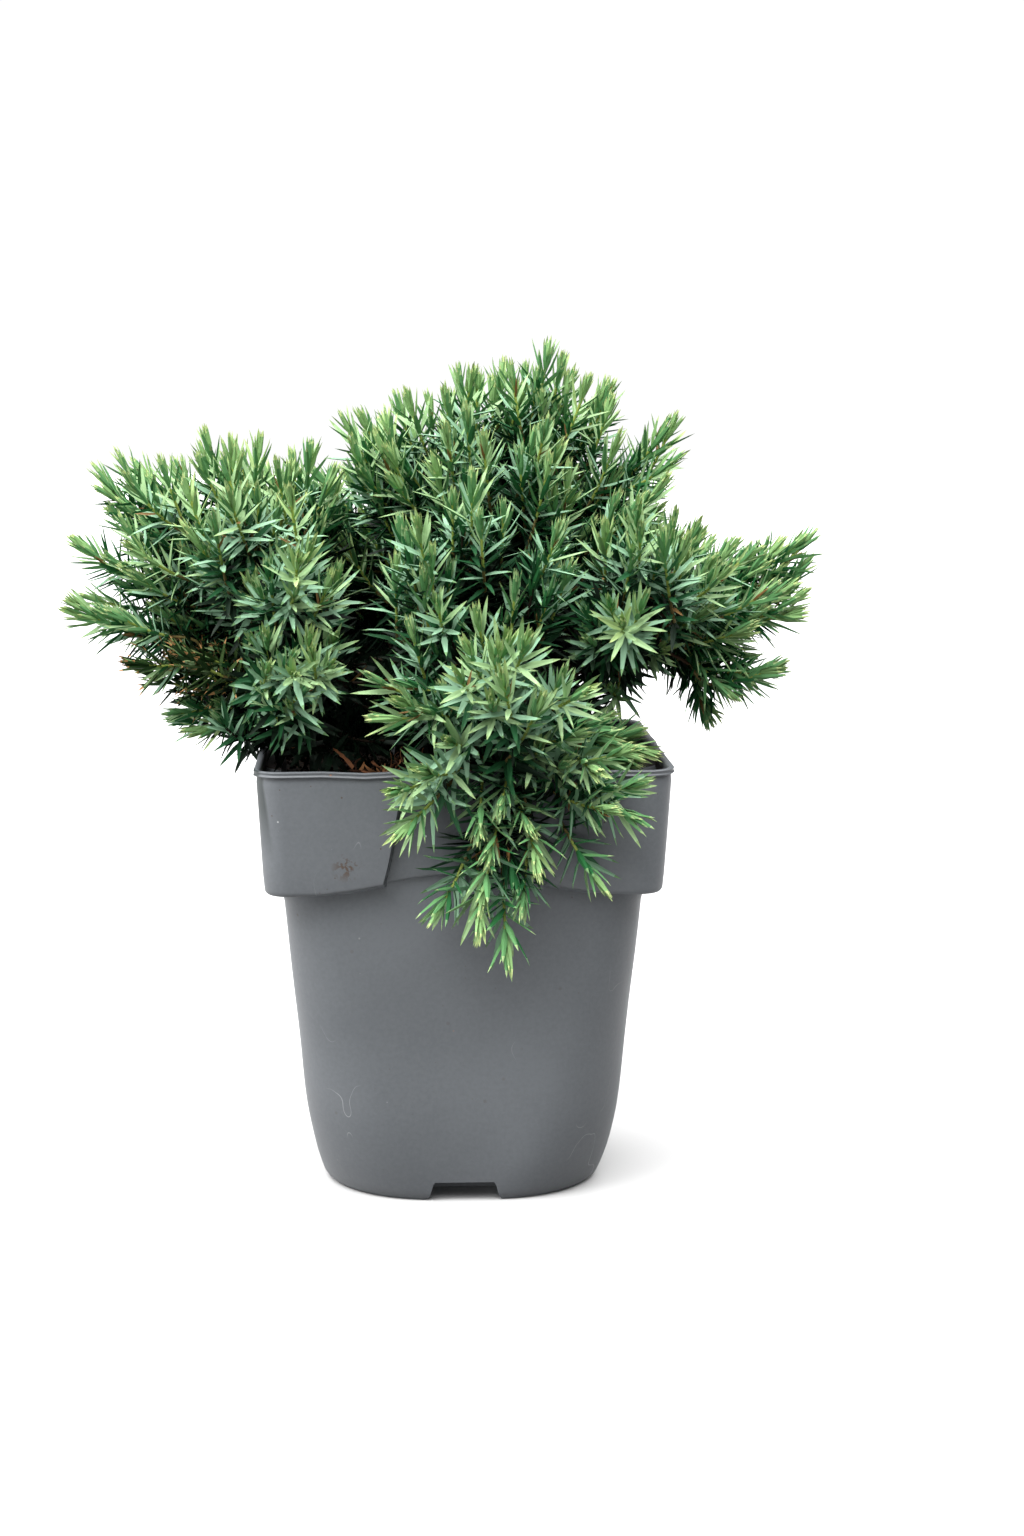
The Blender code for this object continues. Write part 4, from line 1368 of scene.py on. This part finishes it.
def growPart(nodes, part, stems, limbs, taken, rng):
    leaders = [growLeader(node, part, stems, limbs, rng) for node in nodes]
    taken += [(outer[-1], 0.0) for _, _, outer, _ in leaders]
    count = len(leaders)
    joints = [p for _, _, outer, _ in leaders for p in outer]
    hanging = part.get("hanging", ())
    for place in part["crest"] + hanging:
        own = dict(part, lift=part["hang"]) if place in hanging else part
        p = Vector(place) * mm
        p -= growWay(p, own, Vector(), rng) * crown["crestTuft"] * mm
        taken.append((p, 0.0))
        growShoot(p, 0.0, joints, own, stems, Vector(), 0.0, rng)
        count += 1
    # shoots under the crown, darkened with painted shade by a fixed depth
    if "under" in part:
        gap, depth = crown["under"]
        for n in range(crown["tries"]):
            box = part["under"][n % len(part["under"])]
            p = Vector([rng.uniform(a, b) for a, b in zip(*box)]) * mm
            if not inWindow(p) and all((p - q).length > gap * mm for q, _ in taken):
                taken.append((p, depth))
                growShoot(p, depth, joints, part, stems, Vector(), 0.0, rng)
                count += 1
    for corners, skin, outer, straw in leaders:
        sway = anyWay(rng) * crown["sway"]
        for p, depth in spreadPoints(corners, skin, part, rng, taken):
            growShoot(p, depth, outer, part, stems, sway, straw, rng)
            count += 1
    return count


twig = {"Sides": 5}
twigFinish = {
    "green": plainMaterial("twig green", (0.210, 0.260, 0.050), 0.6, 0.3),
    "tan": plainMaterial("twig tan", (0.130, 0.100, 0.030), 0.7, 0.3),
    "old": plainMaterial("twig old", (0.050, 0.028, 0.015), 0.85, 0.2),
    "shaded": plainMaterial("twig shaded", (0.016, 0.010, 0.006), 0.9, 0.15),
}


def twigTree():
    net, start = geometryNet("twigs", "Stems", "Twigs", twig)
    curve = net.out("GeometryNodeMeshToCurve", {"Mesh": start["Stems"]})
    circle = net.out("GeometryNodeCurvePrimitiveCircle", {"Resolution": start["Sides"], "Radius": 1.0})
    inputs = {"Curve": curve, "Profile Curve": circle, "Fill Caps": True, "Scale": net.stored("thick")}
    sweep = net.out("GeometryNodeCurveToMesh", inputs)
    made = net.out("GeometryNodeRealizeInstances", {"Geometry": sweep})
    for reach, finish in ((1.0, "old"), (0.024, "tan"), (0.013, "green")):
        made = net.painted(made, net.stored("fromTip") < reach, twigFinish[finish])
    made = net.painted(made, net.stored("tone") > 1.4, twigFinish["shaded"])
    net.add("NodeGroupOutput", {"Twigs": made})
    return net.tree


tree = needleTree(needleKit(), 11)
total = 0
taken = []
twigStems = Stems()
for name, part in parts.items():
    stems = Stems()
    rng = random.Random(f"{name} sprays")
    nodes = [node for start in part["nodes"] for node in nodesNamed(f"foliage_{start}")]
    lines = [[p for p, _ in limbRings[f"bough_{limb}"]] for limb in part["limbs"]]
    shoots = growPart(nodes, part, stems, lines, taken, rng)
    piece = grown(f"needles{name}", stems.mesh(f"stems{name}"), tree, growth)
    settle(piece, "needles", *nodes)
    twigStems.stems += [stem for stem in stems.stems if stem[1][0]["thick"] > 0]
    total += triangles(piece)
    print(f"{piece.name}: {shoots} shoots, {triangles(piece)} triangles")
print(f"needles: {total} triangles in all")

piece = grown("twigs", twigStems.mesh("twigStems"), twigTree(), twig)
tell(settle(piece, "bark"))
